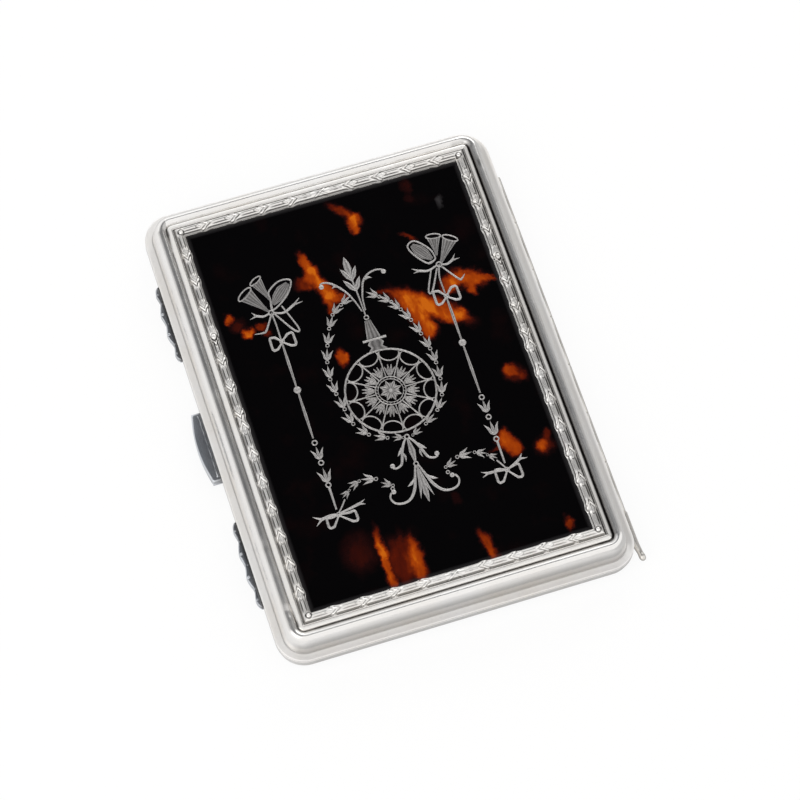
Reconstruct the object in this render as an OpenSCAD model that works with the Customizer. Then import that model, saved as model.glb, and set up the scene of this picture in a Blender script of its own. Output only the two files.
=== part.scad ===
// Hinged card case with a framed tortoiseshell panel, push piece and side mounts.
// Millimetres. Origin at the centre of the flat back, +Z out of the lid, +X the hinge side.

/* [Case] */
// Width over the lips, without knuckles and push piece
case_w = 76; // [74:1:84]
// Length over the lips
case_l = 104; // [100:1:116]
// Plan radius of the four corners
corner_r = 6; // [5.8:0.1:7]
// Height of the seam above the flat back
base_h = 5.2; // [5.2:0.1:6]
// Height of the lid's roll above the seam
lid_h = 5.8; // [5.6:0.1:6.4]
// Thickness of the silver sheet
wall_t = 0.6; // [0.5:0.05:0.65]
// Gap between the two halves at the seam
seam_gap = 0.1; // [0.1:0.02:0.14]
// Gap between fixed pieces that lie side by side
fit_gap = 0.03; // [0.02:0.01:0.05]

/* [Base] */
// Height of the plain lip at the base's seam
base_lip_h = 1.2; // [1:0.1:1.3]
// How far the wall steps in under the lip
base_step = 0.2; // [0.1:0.05:0.25]
// Height at which the bowed wall begins
bow_z = 3.3; // [3.1:0.1:3.4]
// Width of the bowed wall in plan
bow_w = 3.8; // [3.6:0.1:4]
// Thickness of the rim's flat ledge and upright wall
rim_t = 0.5; // [0.4:0.05:0.55]
// How far the upright rim stands above the seam
rim_up = 1; // [0.6:0.1:1.1]
// Clearance between the upright rim and the lid
rim_gap = 0.2; // [0.2:0.05:0.3]
// Thickness of the silk lining
lining_t = 1; // [0.8:0.1:1]

/* [Lid] */
// Width of the flat lip at the lid's edge
lip_w = 1.65; // [1.5:0.05:1.8]
// Thickness of the lid's lip
lip_t = 0.7; // [0.6:0.05:0.8]
// Width of the roll's outer slope
roll_out = 1.85; // [1.8:0.05:2]
// Width and drop of the roll's inner slope
roll_in = 1.25; // [1.15:0.05:1.3]
// Width of the flat seat behind the roll
seat_w = 2.55; // [2.5:0.05:2.7]
// Thickness of the tortoiseshell panel
panel_t = 0.95; // [0.9:0.05:1]
// Gap round the panel in its window
panel_gap = 0.1; // [0.05:0.05:0.15]
// Thickness of the plate behind the panel
backing_t = 0.4; // [0.3:0.05:0.5]
// Tabs along each side that hold the plate
tabs_per_side = 2; // [1:1:4]

/* [Moulding] */
// Height of the moulding's crest above the panel
mould_up = 1.33; // [1.2:0.05:1.5]
// How far the moulding reaches over the panel
mould_over = 0.85; // [0.75:0.05:0.95]
// Radius of the two plain reeds
reed_r = 0.3; // [0.25:0.01:0.3]
// Half width of the reed bundle
bundle_r = 0.85; // [0.8:0.01:0.88]
// Spacing of the ribbon ties
tie_pitch = 6.3; // [6:0.1:6.6]
// Width of one ribbon tie
tie_w = 0.28; // [0.2:0.02:0.34]
// How steeply the two arms of a tie run back from its point
tie_turn = 50; // [40:1:60]
// How far a tie stands out of the bundle
tie_up = 0.1; // [0.06:0.02:0.14]
// Radius of the corner beads
bead_r = 0.65; // [0.55:0.05:0.65]

/* [Hinge] */
// Number of knuckles, an odd number
knuckles = 7; // [5:2:9]
// Length of one knuckle
knuckle_l = 11.5; // [8.5:0.5:12]
// Radius of the knuckles
barrel_r = 1; // [0.9:0.05:1]
// Radius of the hinge pin
pin_r = 0.45; // [0.4:0.01:0.45]
// Gap between the pin and its bore
pin_gap = 0.05; // [0.03:0.01:0.06]
// Gap between neighbouring knuckles
knuckle_gap = 0.15; // [0.12:0.01:0.2]
// Length of the finger that carries the hinge line on
finger_l = 10; // [8:0.5:11]
// Radius of the finger
finger_r = 0.7; // [0.6:0.05:0.7]
// How far the finger's tip turns outwards
finger_turn = 0.45; // [0.2:0.05:0.5]

/* [Catch] */
// Length of the push piece
push_l = 16; // [14:0.2:18]
// How far the push piece's middle lies below the case's middle
push_low = 0.8; // [0:0.1:1]
// How far the push piece stands out at its ends
push_out = 1.8; // [1.3:0.1:2]
// How much further its middle is bowed out
push_bow = 1; // [0.8:0.1:1.6]
// Thickness of the push piece
push_t = 2; // [1.8:0.1:2]
// Clearance round the push piece in its slot
push_gap = 0.2; // [0.15:0.05:0.25]
// Travel of the push piece
push_travel = 0.9; // [0.6:0.1:0.9]
// Half width of the hook plate
hook_y = 5; // [4:0.5:6]

/* [Side mounts] */
// Distance of each side mount's middle from the case's end
mount_end = 23.8; // [22:0.2:26]
// Length of the lower side mount
mount_l = 19.4; // [18:0.2:22]
// How much shorter the upper side mount is
mount_less = 1.8; // [0:0.2:2]
// Thickness of a side mount
mount_t = 1.4; // [1:0.1:1.4]

/* [Inlay] */
// Thickness of the silver inlay on the panel
inlay_t = 0.12; // [0.1:0.02:0.2]
// Distance of the hanging drops from the middle
drop_x = 18; // [17.5:0.1:18.5]
// Radius of the roundel's outer ring
roundel_r = 9.4; // [9:0.1:9.4]
// Width of the fine inlaid lines
line_w = 0.34; // [0.24:0.02:0.4]
// How far the middle ornament lies off the centre line
middle_x = 0.35; // [0:0.05:0.4]
// Spokes of the roundel
spokes = 12; // [8:1:12]

/* [Hidden] */
$fn = 48;
cut = 1;
steps = 9;
corner_min = 0.4;
base_top = base_h - seam_gap;
crest_s = lip_w + roll_out;
groove_s = crest_s + roll_in;
groove_z = base_h + lid_h - roll_in;
window_s = groove_s + seat_w;
seat_z = groove_z - wall_t;
panel_s = window_s + panel_gap;
face_z = seat_z + panel_t;
lid_in_s = lip_w + wall_t;
bow_s = base_step + bow_w;
base_in_s = base_step + wall_t;
rim_s = lid_in_s + rim_gap;
rim_in_s = rim_s + rim_t;
lining_s = bow_s + 0.2;
backing_s = window_s - 1.1;
tab_s = backing_s - 1;
hinge_x = case_w / 2 - 0.25;
hinge_z = base_top - barrel_r;
hinge_l = knuckles * knuckle_l;
pin_hole_r = pin_r + pin_gap;
channel = barrel_r + 0.25;
finger_x = case_w / 2 - base_step + finger_r;
finger_z = hinge_z - 1.25;
leaf_x = case_w / 2 - rim_s;
leaf_in_x = hinge_x - channel;
leaf_z = base_h - 3.4;
push_z = base_top - 0.8 - push_t;
push_in_x = case_w / 2 - 1.4;
stem_z = push_z + 0.5;
stem_t = push_t / 2;
stem_y = hook_y - 1;
hook_x = case_w / 2 - 3.6;
hook_t = 0.6;
hook_top = base_h + 2.6;
nose_t = 0.6;
nose_l = 0.45;
keeper_z = base_h + rim_up + 0.2;
keeper_t = 0.7;
keeper_s = lid_in_s + 0.06;
keeper_x = hook_x + nose_l + 0.15;
spring_t = 0.2;
spring_rise = 0.7;
housing_x = hook_x - hook_t - spring_rise - push_travel - 0.2;
housing_t = 0.4;
housing_y = hook_y + 4;
mount_z = base_top - 0.4 - mount_t;
mount_y = case_l / 2 - mount_end;
bundle_s = window_s - 0.2;
bundle_z = face_z + mould_up - bundle_r;
reed_z = face_z + 0.35;
art = drop_x / 18;
drop_u = drop_x / art;
ring_u = roundel_r / art;
line_u = line_w / art;
mould_s = groove_s + 0.1;
mould_in_s = window_s + mould_over;
bead_s = window_s + 0.1;

// Points of an elliptical arc between two angles.
function arc_points(c, a, b, from, to) = [
  for (i = [0:steps])
    let (t = from + (to - from) * i / steps)
    [c[0] + a * cos(t), c[1] + b * sin(t)]
];

// Height of the base's inner face at an inset, clear of the sheet.
function floor_z(s) = bow_z - (bow_z - wall_t) * sqrt(1 - pow((bow_s - s) / (bow_w - wall_t), 2)) + 0.1;

// Sections are drawn with x as the inset from the lip's edge and y as the height.
base_section = concat(
  [[0, base_top], [0, base_top - base_lip_h], [base_step, base_top - base_lip_h]],
  arc_points([bow_s, bow_z], bow_w, bow_z, 180, 270),
  [[bow_s + 0.8, 0], [bow_s + 0.8, wall_t]],
  arc_points([bow_s, bow_z], bow_w - wall_t, bow_z - wall_t, 270, 180),
  [[base_in_s, base_top]]
);

lid_section = concat(
  [[0, base_h], [0, base_h + lip_t]],
  arc_points([crest_s, base_h + lip_t], roll_out, lid_h - lip_t, 180, 90),
  arc_points([crest_s, groove_z], roll_in, roll_in, 80, 0),
  [[groove_s + 0.6, groove_z], [groove_s + 0.6, seat_z], [groove_s - wall_t, seat_z]],
  arc_points([crest_s, groove_z], roll_in - wall_t, roll_in - wall_t, 0, 80),
  arc_points([crest_s, base_h + lip_t], roll_out - wall_t, lid_h - lip_t - wall_t, 90, 180),
  [[lid_in_s, base_h]]
);

rim_section = [
  [base_in_s + fit_gap, base_top - rim_t], [base_in_s + fit_gap, base_top],
  [rim_s, base_top], [rim_s, base_h + rim_up], [rim_in_s, base_h + rim_up],
  [rim_in_s, floor_z(rim_s)], [rim_s, floor_z(rim_s)], [rim_s, base_top - rim_t]
];

mould_section = concat(
  [[mould_s, groove_z], [mould_s, reed_z]],
  arc_points([mould_s + reed_r, reed_z], reed_r, reed_r, 160, 20),
  arc_points([mould_s + 3 * reed_r, reed_z], reed_r, reed_r, 160, 20),
  [[bundle_s - bundle_r - 0.02, bundle_z]],
  arc_points([bundle_s, bundle_z], bundle_r, bundle_r, 180, 0),
  [[mould_in_s, bundle_z - 0.1], [mould_in_s, face_z], [window_s, face_z], [window_s, groove_z]]
);

tie_section = concat(
  arc_points([bundle_s, bundle_z], bundle_r + tie_up, bundle_r + tie_up, 175, 5),
  [[bundle_s + bundle_r - 0.1, bundle_z - 0.1], [bundle_s - bundle_r + 0.1, bundle_z - 0.1]]
);

// Sweeps a section round the whole case.
module around_edge() {
  for (turn = [0, 180]) {
    rotate([0, 0, turn]) translate([case_w / 2, 0, 0]) rotate([90, 0, 0])
      linear_extrude(case_l - 2 * corner_r, center = true) mirror([1, 0]) children();
    rotate([0, 0, turn + 90]) translate([case_l / 2, 0, 0]) rotate([90, 0, 0])
      linear_extrude(case_w - 2 * corner_r, center = true) mirror([1, 0]) children();
  }
  for (mx = [0, 1], my = [0, 1]) {
    mirror([mx, 0, 0]) mirror([0, my, 0])
      translate([case_w / 2 - corner_r, case_l / 2 - corner_r, 0])
      rotate_extrude(angle = 90) translate([corner_r, 0]) mirror([1, 0]) children();
  }
}

// Rounded outline at an inset from the lip's edge.
module inset_outline(s) {
  r = max(corner_r - s, corner_min);
  w = case_w - 2 * s;
  l = case_l - 2 * s;
  square([w - 2 * r, l], center = true);
  square([w, l - 2 * r], center = true);
  for (sx = [-1, 1], sy = [-1, 1]) {
    translate([sx * (w / 2 - r), sy * (l / 2 - r)]) circle(r);
  }
}

// Rounded plate at an inset, between two heights.
module inset_plate(s, z, t) {
  translate([0, 0, z]) linear_extrude(t) inset_outline(s);
}

// Box given by its low and high corners.
module box(lo, hi) {
  translate(lo) cube(hi - lo);
}

// Round bar along Y, centred in the middle.
module bar_y(r, l) {
  rotate([90, 0, 0]) cylinder(r = r, h = l, center = true);
}

module base_shell() {
  color("#d9d5cb") difference() {
    union() {
      around_edge() polygon(base_section);
      inset_plate(bow_s + 0.4, 0, wall_t);
    }
    hinge_room = hinge_l / 2 + knuckle_gap;
    box([leaf_in_x, -hinge_room, hinge_z - channel], [case_w / 2 + cut, hinge_room, base_h + cut]);
    slot_half = push_l / 2 + push_gap;
    box([-case_w / 2 - cut, -push_low - slot_half, push_z - push_gap],
        [-push_in_x + push_gap, slot_half - push_low, push_z + push_t + push_gap]);
  }
}

module base_rim() {
  color("#cfcabf") difference() {
    around_edge() polygon(rim_section);
    hinge_room = hinge_l / 2 + knuckle_gap;
    box([leaf_in_x - fit_gap, -hinge_room, base_top - rim_t - cut],
        [case_w / 2, hinge_room, base_top + cut]);
    box([-leaf_x - cut, -stem_y - push_gap, stem_z - push_gap],
        [-leaf_x + rim_t + cut, stem_y + push_gap, stem_z + stem_t + push_gap]);
  }
}

// Row of knuckles, every second one, from the first.
module knuckle_row(first) {
  for (i = [first:2:knuckles - 1]) {
    translate([hinge_x, (i - (knuckles - 1) / 2) * knuckle_l, hinge_z]) children();
  }
}

module base_hinge() {
  bend = 3.5;
  straight = finger_l - bend;
  color("#b9b5ac") difference() {
    union() {
      knuckle_row(0) {
        bar_y(barrel_r, knuckle_l - knuckle_gap);
        box([leaf_in_x - hinge_x - cut / 2, -(knuckle_l - knuckle_gap) / 2, -barrel_r],
            [0, (knuckle_l - knuckle_gap) / 2, 0]);
      }
      box([leaf_x, -hinge_l / 2, leaf_z], [leaf_in_x, hinge_l / 2, base_top - rim_t]);
      translate([finger_x, cut / 2 - (hinge_l + straight) / 2, finger_z])
        bar_y(finger_r, straight + cut);
      translate([finger_x, -hinge_l / 2 - straight, finger_z]) {
        rotate([90, 0, atan2(finger_turn, bend)]) cylinder(r = finger_r, h = norm([finger_turn, bend]));
        sphere(finger_r);
        translate([finger_turn, -bend, 0]) sphere(finger_r);
      }
    }
    translate([hinge_x, 0, hinge_z]) bar_y(pin_hole_r, hinge_l + knuckle_gap);
  }
}

module hinge_pin() {
  color("#9f9b92") translate([hinge_x, 0, hinge_z]) bar_y(pin_r, hinge_l - 2 * knuckle_gap);
}

module base_lining() {
  room = housing_y + 0.2;
  color("#6f7f8c") difference() {
    inset_plate(lining_s, wall_t, lining_t);
    box([-case_w / 2, -room, 0], [-housing_x + housing_t + 0.2, room, base_h]);
  }
}

module catch_housing() {
  wall_x = housing_x - housing_t;
  color("#c4bfb3") union() {
    box([-housing_x, -housing_y, wall_t], [-wall_x, housing_y, base_top]);
    for (side = [-1, 1]) {
      y = side * (housing_y - housing_t / 2);
      box([bow_s - case_w / 2 + 0.1, y - housing_t / 2, wall_t], [-wall_x, y + housing_t / 2, base_top]);
    }
  }
}

// Half outline of a side mount: place along it and how far it stands out.
mount_half = [[0, 0.95], [0.1, 1.1], [0.26, 1.4], [0.42, 1.15], [0.57, 0.7], [0.68, 0.85],
              [0.8, 1.05], [0.92, 0.85], [1, 0.35], [1, 0]];

module side_mount(l) {
  last = len(mount_half) - 1;
  right = [for (p = mount_half) [-p[1], p[0] * l / 2]];
  left = [for (i = [last:-1:1]) [-mount_half[i][1], -mount_half[i][0] * l / 2]];
  translate([-case_w / 2, 0, mount_z]) linear_extrude(mount_t) polygon(concat(right, left));
}

module upper_side_mount() {
  color("#8d8a84") translate([0, mount_y, 0]) side_mount(mount_l - mount_less);
}

module lower_side_mount() {
  color("#8d8a84") translate([0, -mount_y, 0]) side_mount(mount_l);
}

module push_piece() {
  tip_x = case_w / 2 + push_out + push_bow;
  bow_r = (pow(push_l / 2, 2) + pow(push_bow, 2)) / (2 * push_bow);
  color("#77777a") translate([0, -push_low, 0]) intersection() {
    box([-tip_x - cut, -push_l / 2, push_z], [-push_in_x, push_l / 2, push_z + push_t]);
    translate([bow_r - tip_x, 0, push_z - cut]) cylinder(r = bow_r, h = push_t + 2 * cut, $fn = 128);
  }
}

module catch_hook() {
  color("#b9b5ac") union() {
    box([-push_in_x, -stem_y, stem_z], [-hook_x + 0.1, stem_y, stem_z + stem_t]);
    box([-hook_x, -hook_y, stem_z], [-hook_x + hook_t, hook_y, hook_top]);
    box([-hook_x - nose_l, -hook_y, hook_top - nose_t], [-hook_x + 0.1, hook_y, hook_top]);
  }
}

module catch_spring() {
  x = -hook_x + hook_t;
  pad = 1.5;
  tip = hook_y - 0.5;
  color("#8f9196") translate([x, 0, stem_z + stem_t + 0.4]) linear_extrude(1.2) polygon([
    [0, -pad], [spring_rise - spring_t, -tip - 0.1], [spring_rise, -tip], [spring_t, -pad],
    [spring_t, pad], [spring_rise, tip], [spring_rise - spring_t, tip + 0.1], [0, pad]
  ]);
}

module lid_shell() {
  color("#ddd9cf") union() {
    around_edge() polygon(lid_section);
    difference() {
      inset_plate(groove_s + 0.3, seat_z, wall_t);
      translate([0, 0, seat_z - cut])
        linear_extrude(wall_t + 2 * cut)
        square([case_w - 2 * window_s, case_l - 2 * window_s], center = true);
    }
  }
}

module lid_hinge() {
  half = (knuckle_l - knuckle_gap) / 2;
  color("#b9b5ac") difference() {
    knuckle_row(1) {
      bar_y(barrel_r, 2 * half);
      box([-0.8, -half, 0], [case_w / 2 - hinge_x, half, base_h - hinge_z]);
    }
    translate([hinge_x, 0, hinge_z]) bar_y(pin_hole_r, hinge_l);
  }
}

// One strip of moulding on the +X side of a frame of a given size, cut to a mitre.
// It has V ties both ways from its middle and a stud on one of them, or none.
module mould_strip(w, l, ties, stud) {
  s_mid = w / 2 - bundle_s;
  difference() {
    intersection() {
      union() {
        translate([w / 2, 0, 0]) rotate([90, 0, 0])
          linear_extrude(l - 2 * mould_s, center = true) mirror([1, 0]) polygon(mould_section);
        intersection() {
          translate([w / 2, 0, 0]) rotate([90, 0, 0])
            linear_extrude(l - 2 * mould_s, center = true) mirror([1, 0]) polygon(tie_section);
          for (side = [-1, 1], i = [0:ties], m = [0, 1]) {
            translate([s_mid, side * i * tie_pitch, bundle_z]) mirror([m, 0, 0])
              rotate([0, 0, side * tie_turn]) translate([0, -tie_w / 2, -mould_up])
              cube([2 * bundle_r, tie_w, 2 * mould_up]);
          }
        }
        if (stud > 0) for (side = [-1, 1]) {
          translate([s_mid, side * stud * tie_pitch, bundle_z + bundle_r - 0.1]) sphere(0.35);
        }
      }
      translate([0, 0, groove_z - cut]) linear_extrude(lid_h) polygon([
        [w / 2 - mould_s, l / 2 - mould_s - fit_gap],
        [w / 2 - mould_in_s - cut, l / 2 - mould_in_s - cut - fit_gap],
        [w / 2 - mould_in_s - cut, mould_in_s + cut + fit_gap - l / 2],
        [w / 2 - mould_s, mould_s + fit_gap - l / 2]
      ]);
    }
    for (side = [-1, 1]) {
      translate([w / 2 - bead_s, side * (l / 2 - bead_s), face_z - cut])
        cylinder(r = bead_r + fit_gap, h = 2 * mould_up + cut);
    }
  }
}

module moulding_top() {
  color("#e3ded2") rotate([0, 0, 90]) mould_strip(case_l, case_w, 4, 0);
}

module moulding_bottom() {
  color("#e3ded2") rotate([0, 0, -90]) mould_strip(case_l, case_w, 4, 0);
}

module moulding_left() {
  color("#e3ded2") rotate([0, 0, 180]) mould_strip(case_w, case_l, 6, 3);
}

module moulding_right() {
  color("#e3ded2") mould_strip(case_w, case_l, 6, 3);
}

module corner_beads() {
  color("#efeae0") for (sx = [-1, 1], sy = [-1, 1]) {
    translate([sx * (case_w / 2 - bead_s), sy * (case_l / 2 - bead_s), face_z + bead_r + fit_gap])
      sphere(bead_r);
  }
}

module tortoiseshell_panel() {
  color("#2a1208") translate([0, 0, seat_z])
    linear_extrude(panel_t)
    square([case_w - 2 * panel_s, case_l - 2 * panel_s], center = true);
}

module panel_backing() {
  color("#c9c5ba") inset_plate(backing_s, seat_z - backing_t, backing_t);
}

module backing_tab() {
  half = 1.5;
  foot_s = backing_s + 0.15;
  box([-backing_s + fit_gap, -half, seat_z - backing_t], [-tab_s, half, seat_z]);
  box([-foot_s, -half, seat_z - 2 * backing_t], [-tab_s, half, seat_z - backing_t]);
}

module backing_tabs() {
  color("#b9b5ac") for (turn = [0, 180], i = [0:tabs_per_side - 1]) {
    place = (2 * i + 1) / tabs_per_side - 1;
    rotate([0, 0, turn]) translate([case_w / 2, place * case_l * 0.36, 0]) backing_tab();
    rotate([0, 0, turn + 90]) translate([case_l / 2, place * case_w * 0.36, 0]) backing_tab();
  }
}

module lid_lining() {
  color("#6f7f8c") inset_plate(backing_s + 0.2, seat_z - backing_t - lining_t * 0.8, lining_t * 0.8);
}

module lid_keeper() {
  color("#b9b5ac")
    box([keeper_s - case_w / 2, -hook_y, keeper_z], [-keeper_x, hook_y, keeper_z + keeper_t]);
}

// Lays a flat figure, drawn with the drops 18 from the middle, on the panel.
module inlaid() {
  color("#dcd8ce") translate([0, 0, face_z]) linear_extrude(inlay_t) scale([art, art]) children();
}

// Thin line through a few points, with round joints.
module line(points, w = line_u) {
  for (i = [0:len(points) - 2]) {
    d = points[i + 1] - points[i];
    translate(points[i]) rotate(atan2(d[1], d[0])) translate([0, -w / 2]) square([norm(d), w]);
    translate(points[i + 1]) rotate(9) circle(w * 0.58, $fn = 8);
  }
}

// Pointed leaf growing along +Y.
module leaf(w, l) {
  polygon([[0, 0], [w * 0.36, l * 0.22], [w / 2, l * 0.5], [w * 0.3, l * 0.8], [0, l],
           [-w * 0.3, l * 0.8], [-w / 2, l * 0.5], [-w * 0.36, l * 0.22]]);
}

// Small ring link.
module link(r = 0.42) {
  difference() {
    circle(r, $fn = 24);
    circle(r * 0.45, $fn = 24);
  }
}

// Husk with three pointed petals, opening along +Y, with its link below.
module husk() {
  polygon([[0, -1.15], [0.45, -0.8], [0.75, -0.15], [0.9, 0.85], [0.42, 0.4], [0, 1.2],
           [-0.42, 0.4], [-0.9, 0.85], [-0.75, -0.15], [-0.45, -0.8]]);
  translate([0, -1.45]) link();
}

// Ribbon bow with two square loops and forked tails.
module bow(w, h, tail) {
  for (m = [0, 1]) {
    mirror([m, 0]) {
      line([[0, 0], [w * 0.5, h * 0.35], [w, h * 0.3], [w, -h * 0.65], [w * 0.3, -h * 0.5], [0, 0]]);
      line([[0, 0], [tail * 0.45, -h * 0.15], [tail, h * 0.45]], line_u * 0.9);
    }
  }
  circle(0.55, $fn = 24);
}

module inlay_roundel() {
  rope_r = 2.5;
  inlaid() translate([middle_x, -2.45]) union() {
    difference() {
      circle(ring_u + line_u / 2);
      circle(ring_u - line_u / 2);
    }
    intersection() {
      circle(ring_u - line_u);
      for (i = [0:spokes - 1]) {
        rotate((i + 0.5) * 360 / spokes) translate([0, ring_u]) difference() {
          circle(rope_r + line_u / 2);
          circle(rope_r - line_u / 2);
        }
      }
    }
    for (i = [0:spokes - 1]) {
      rotate(i * 360 / spokes) translate([-line_u / 2, 2.9]) square([line_u, ring_u - 3.6]);
      rotate((i + 0.5) * 360 / spokes) translate([0, 3.1]) for (a = [-24, 0, 24]) {
        rotate(a) leaf(0.75, a == 0 ? 2.8 : 2.1);
      }
    }
    difference() {
      circle(3.15);
      circle(2.8);
    }
    for (i = [0:7]) {
      rotate(i * 45) translate([0, 0.4]) leaf(0.9, 2);
    }
    circle(0.6, $fn = 24);
  }
}

// Husks of one side of the garland, from the top down.
garland = [[2.7, 19.8], [5, 18], [7.1, 15.3], [8.7, 12.1], [9.9, 8.8], [10.8, 5.4], [11.1, 1.9],
           [11, -1.7], [10.3, -5.3], [8.5, -8.6], [5.8, -11.1]];

module inlay_garland() {
  last = len(garland) - 1;
  inlaid() translate([middle_x, 0]) for (m = [0, 1]) {
    mirror([m, 0]) for (i = [0:last]) {
      d = garland[max(i - 1, 0)] - garland[min(i + 1, last)];
      translate(garland[i]) rotate(atan2(d[1], d[0]) - 90) scale(0.95) husk();
    }
  }
}

module inlay_urn_spray() {
  inlaid() translate([middle_x, 0]) union() {
    translate([0, 15]) link(0.6);
    polygon([[-0.6, 14.4], [0.6, 14.4], [1.2, 12.6], [1.6, 10], [-1.6, 10], [-1.2, 12.6]]);
    translate([0, 9.75]) square([5.2, 0.6], center = true);
    polygon([[-1.75, 9.5], [1.75, 9.5], [0.8, 8.5], [0.8, 8.2], [1.2, 7.8], [2, 7.15], [-2, 7.15],
             [-1.2, 7.8], [-0.8, 8.2], [-0.8, 8.5]]);
    line([[0, 15.6], [0, 25.6]]);
    translate([0, 25.3]) leaf(1.4, 4.4);
    for (m = [0, 1]) {
      mirror([m, 0]) {
        translate([0, 24.4]) rotate(-37) leaf(1.1, 3.3);
        translate([0, 21.6]) rotate(-37) leaf(1.1, 3.4);
        line([[0, 16.6], [0.9, 19.5], [1.9, 21.7], [3.7, 24], [5.2, 25], [6.6, 24.9]]);
        line([[3.2, 23.4], [4.4, 23.2]]);
        translate([6.8, 24.2]) circle(0.7, $fn = 24);
      }
    }
  }
}

// Trophy, bow, staff and husks, drawn for the right side.
module hanging_drop() {
  for (horn = [[5.3, 27.8, -52, 2.4], [2.5, 29.6, -24, 2]]) {
    tip = [0.2, horn[1] - 5.5];
    d = [horn[0], horn[1]] - tip;
    translate(tip) rotate(atan2(d[1], d[0]) - 90)
      polygon([[-0.3, 0], [0.3, 0], [horn[3] / 2, norm(d)], [-horn[3] / 2, norm(d)]]);
  }
  translate([-0.4, 22.6]) rotate(42) difference() {
    leaf(3.3, 7.4);
    translate([0, 1.6]) leaf(1.9, 4.4);
  }
  translate([-0.4, 22.6]) rotate(42) translate([0, 2.2]) leaf(1, 3.2);
  line([[-0.3, 22.6], [3, 21.4], [4.9, 22.3]], 0.6);
  line([[-0.3, 22.6], [-4, 21.6], [-6.4, 23]], 0.6);
  line([[0, 22.4], [0, 15.4]]);
  line([[0, 20], [2.8, 18], [4.7, 18.1]], 0.6);
  line([[0, 19], [-3.4, 16.8]], 0.6);
  translate([0, 14.8]) bow(2.6, 2.7, 4.2);
  line([[0, 14.6], [-0.15, -24.2]]);
  translate([-0.1, 3.4]) circle(0.85, $fn = 24);
  polygon([[-0.1, 11.5], [0.45, 8], [0.1, 4.4], [-0.3, 4.4], [-0.6, 8]]);
  polygon([[-0.1, 2.4], [0.4, -1], [0.05, -7.8], [-0.25, -7.8], [-0.6, -1]]);
  for (y = [-9.1, -13.7, -18.7]) {
    translate([-0.15, y]) circle(0.75, $fn = 24);
  }
  for (y = [-11.6, -16.6]) {
    translate([-0.15, y]) scale(1.15) husk();
  }
}

module inlay_right_drop() {
  inlaid() translate([drop_u, 0]) hanging_drop();
}

module inlay_left_drop() {
  inlaid() translate([-drop_u, 0]) mirror([1, 0]) hanging_drop();
}

module inlay_bows() {
  inlaid() for (m = [0, 1]) {
    mirror([m, 0]) translate([drop_u - 0.2, -26]) bow(2.8, 3, 5.2);
  }
}

module inlay_swags() {
  swag = [[6.9, -22], [10.2, -20.2], [13.4, -20.5], [15.6, -22.4]];
  last = len(swag) - 1;
  inlaid() for (m = [0, 1]) {
    mirror([m, 0]) for (i = [0:last]) {
      d = swag[min(i + 1, last)] - swag[max(i - 1, 0)];
      translate(swag[i]) rotate(atan2(d[1], d[0]) - 90) scale(0.8) husk();
    }
  }
}

module inlay_scrolls() {
  inlaid() translate([middle_x, 0]) union() {
    translate([0, -13.3]) circle(0.6, $fn = 24);
    translate([0, -19.1]) leaf(1.5, 5.3);
    translate([0, -19.4]) circle(0.6, $fn = 24);
    translate([0, -28.2]) leaf(1.5, 8.4);
    for (m = [0, 1]) {
      mirror([m, 0]) {
        line([[0.3, -13.4], [1.4, -14.9], [2.1, -16.7], [3, -18.6], [4.2, -19.1]]);
        translate([4.6, -18.5]) circle(0.6, $fn = 24);
        translate([2.4, -17.2]) rotate(-62) leaf(0.9, 2.2);
        line([[0.2, -19.6], [0.9, -21.9], [2.1, -24.9], [3.4, -26.6], [5.1, -27.1], [6.6, -26.1],
              [7, -24.9]]);
        translate([6.1, -24.2]) circle(0.7, $fn = 24);
        translate([1.6, -23.6]) rotate(-70) leaf(0.9, 2.6);
        translate([0.3, -22.6]) rotate(-160) leaf(1, 4.6);
      }
    }
  }
}

base_shell();
base_rim();
base_hinge();
hinge_pin();
base_lining();
catch_housing();
upper_side_mount();
lower_side_mount();
push_piece();
catch_hook();
catch_spring();
lid_shell();
lid_hinge();
moulding_top();
moulding_bottom();
moulding_left();
moulding_right();
corner_beads();
tortoiseshell_panel();
panel_backing();
backing_tabs();
lid_lining();
lid_keeper();
inlay_roundel();
inlay_garland();
inlay_urn_spray();
inlay_left_drop();
inlay_right_drop();
inlay_bows();
inlay_swags();
inlay_scrolls();
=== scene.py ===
"""Looks of the hinged card case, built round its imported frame. Sizes in mm are turned to metres."""

import math
import random

import bmesh
import bpy
import numpy as np
from mathutils import Matrix, Vector

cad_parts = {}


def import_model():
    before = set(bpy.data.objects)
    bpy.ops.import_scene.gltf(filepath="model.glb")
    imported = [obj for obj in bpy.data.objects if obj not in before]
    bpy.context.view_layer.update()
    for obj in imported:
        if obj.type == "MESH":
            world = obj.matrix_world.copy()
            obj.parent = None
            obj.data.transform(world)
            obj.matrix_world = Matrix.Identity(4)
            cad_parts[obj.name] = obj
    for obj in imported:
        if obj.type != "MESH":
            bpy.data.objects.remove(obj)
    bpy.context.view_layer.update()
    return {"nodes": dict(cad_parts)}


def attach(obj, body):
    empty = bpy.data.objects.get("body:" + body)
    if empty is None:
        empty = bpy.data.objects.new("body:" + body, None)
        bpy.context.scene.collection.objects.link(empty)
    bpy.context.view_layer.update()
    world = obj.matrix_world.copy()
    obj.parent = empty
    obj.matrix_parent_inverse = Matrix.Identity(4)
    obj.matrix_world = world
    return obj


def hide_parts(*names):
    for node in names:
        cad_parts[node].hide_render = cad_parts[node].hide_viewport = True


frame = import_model()
RNG = random.Random(7)
MM = 0.001

# Case, in mm, as in the solids.
CASE_W, CASE_L, CORNER = 76.0, 104.0, 6.0
HALF_W, HALF_L = CASE_W / 2, CASE_L / 2
SEAM, BASE_TOP = 5.2, 5.1
CREST_S, WINDOW_S = 3.5, 7.3
GROOVE_Z, FACE_Z = 9.75, 10.1
HINGE_X, HINGE_Z, KNUCKLE = 37.75, 4.1, 11.5


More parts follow.
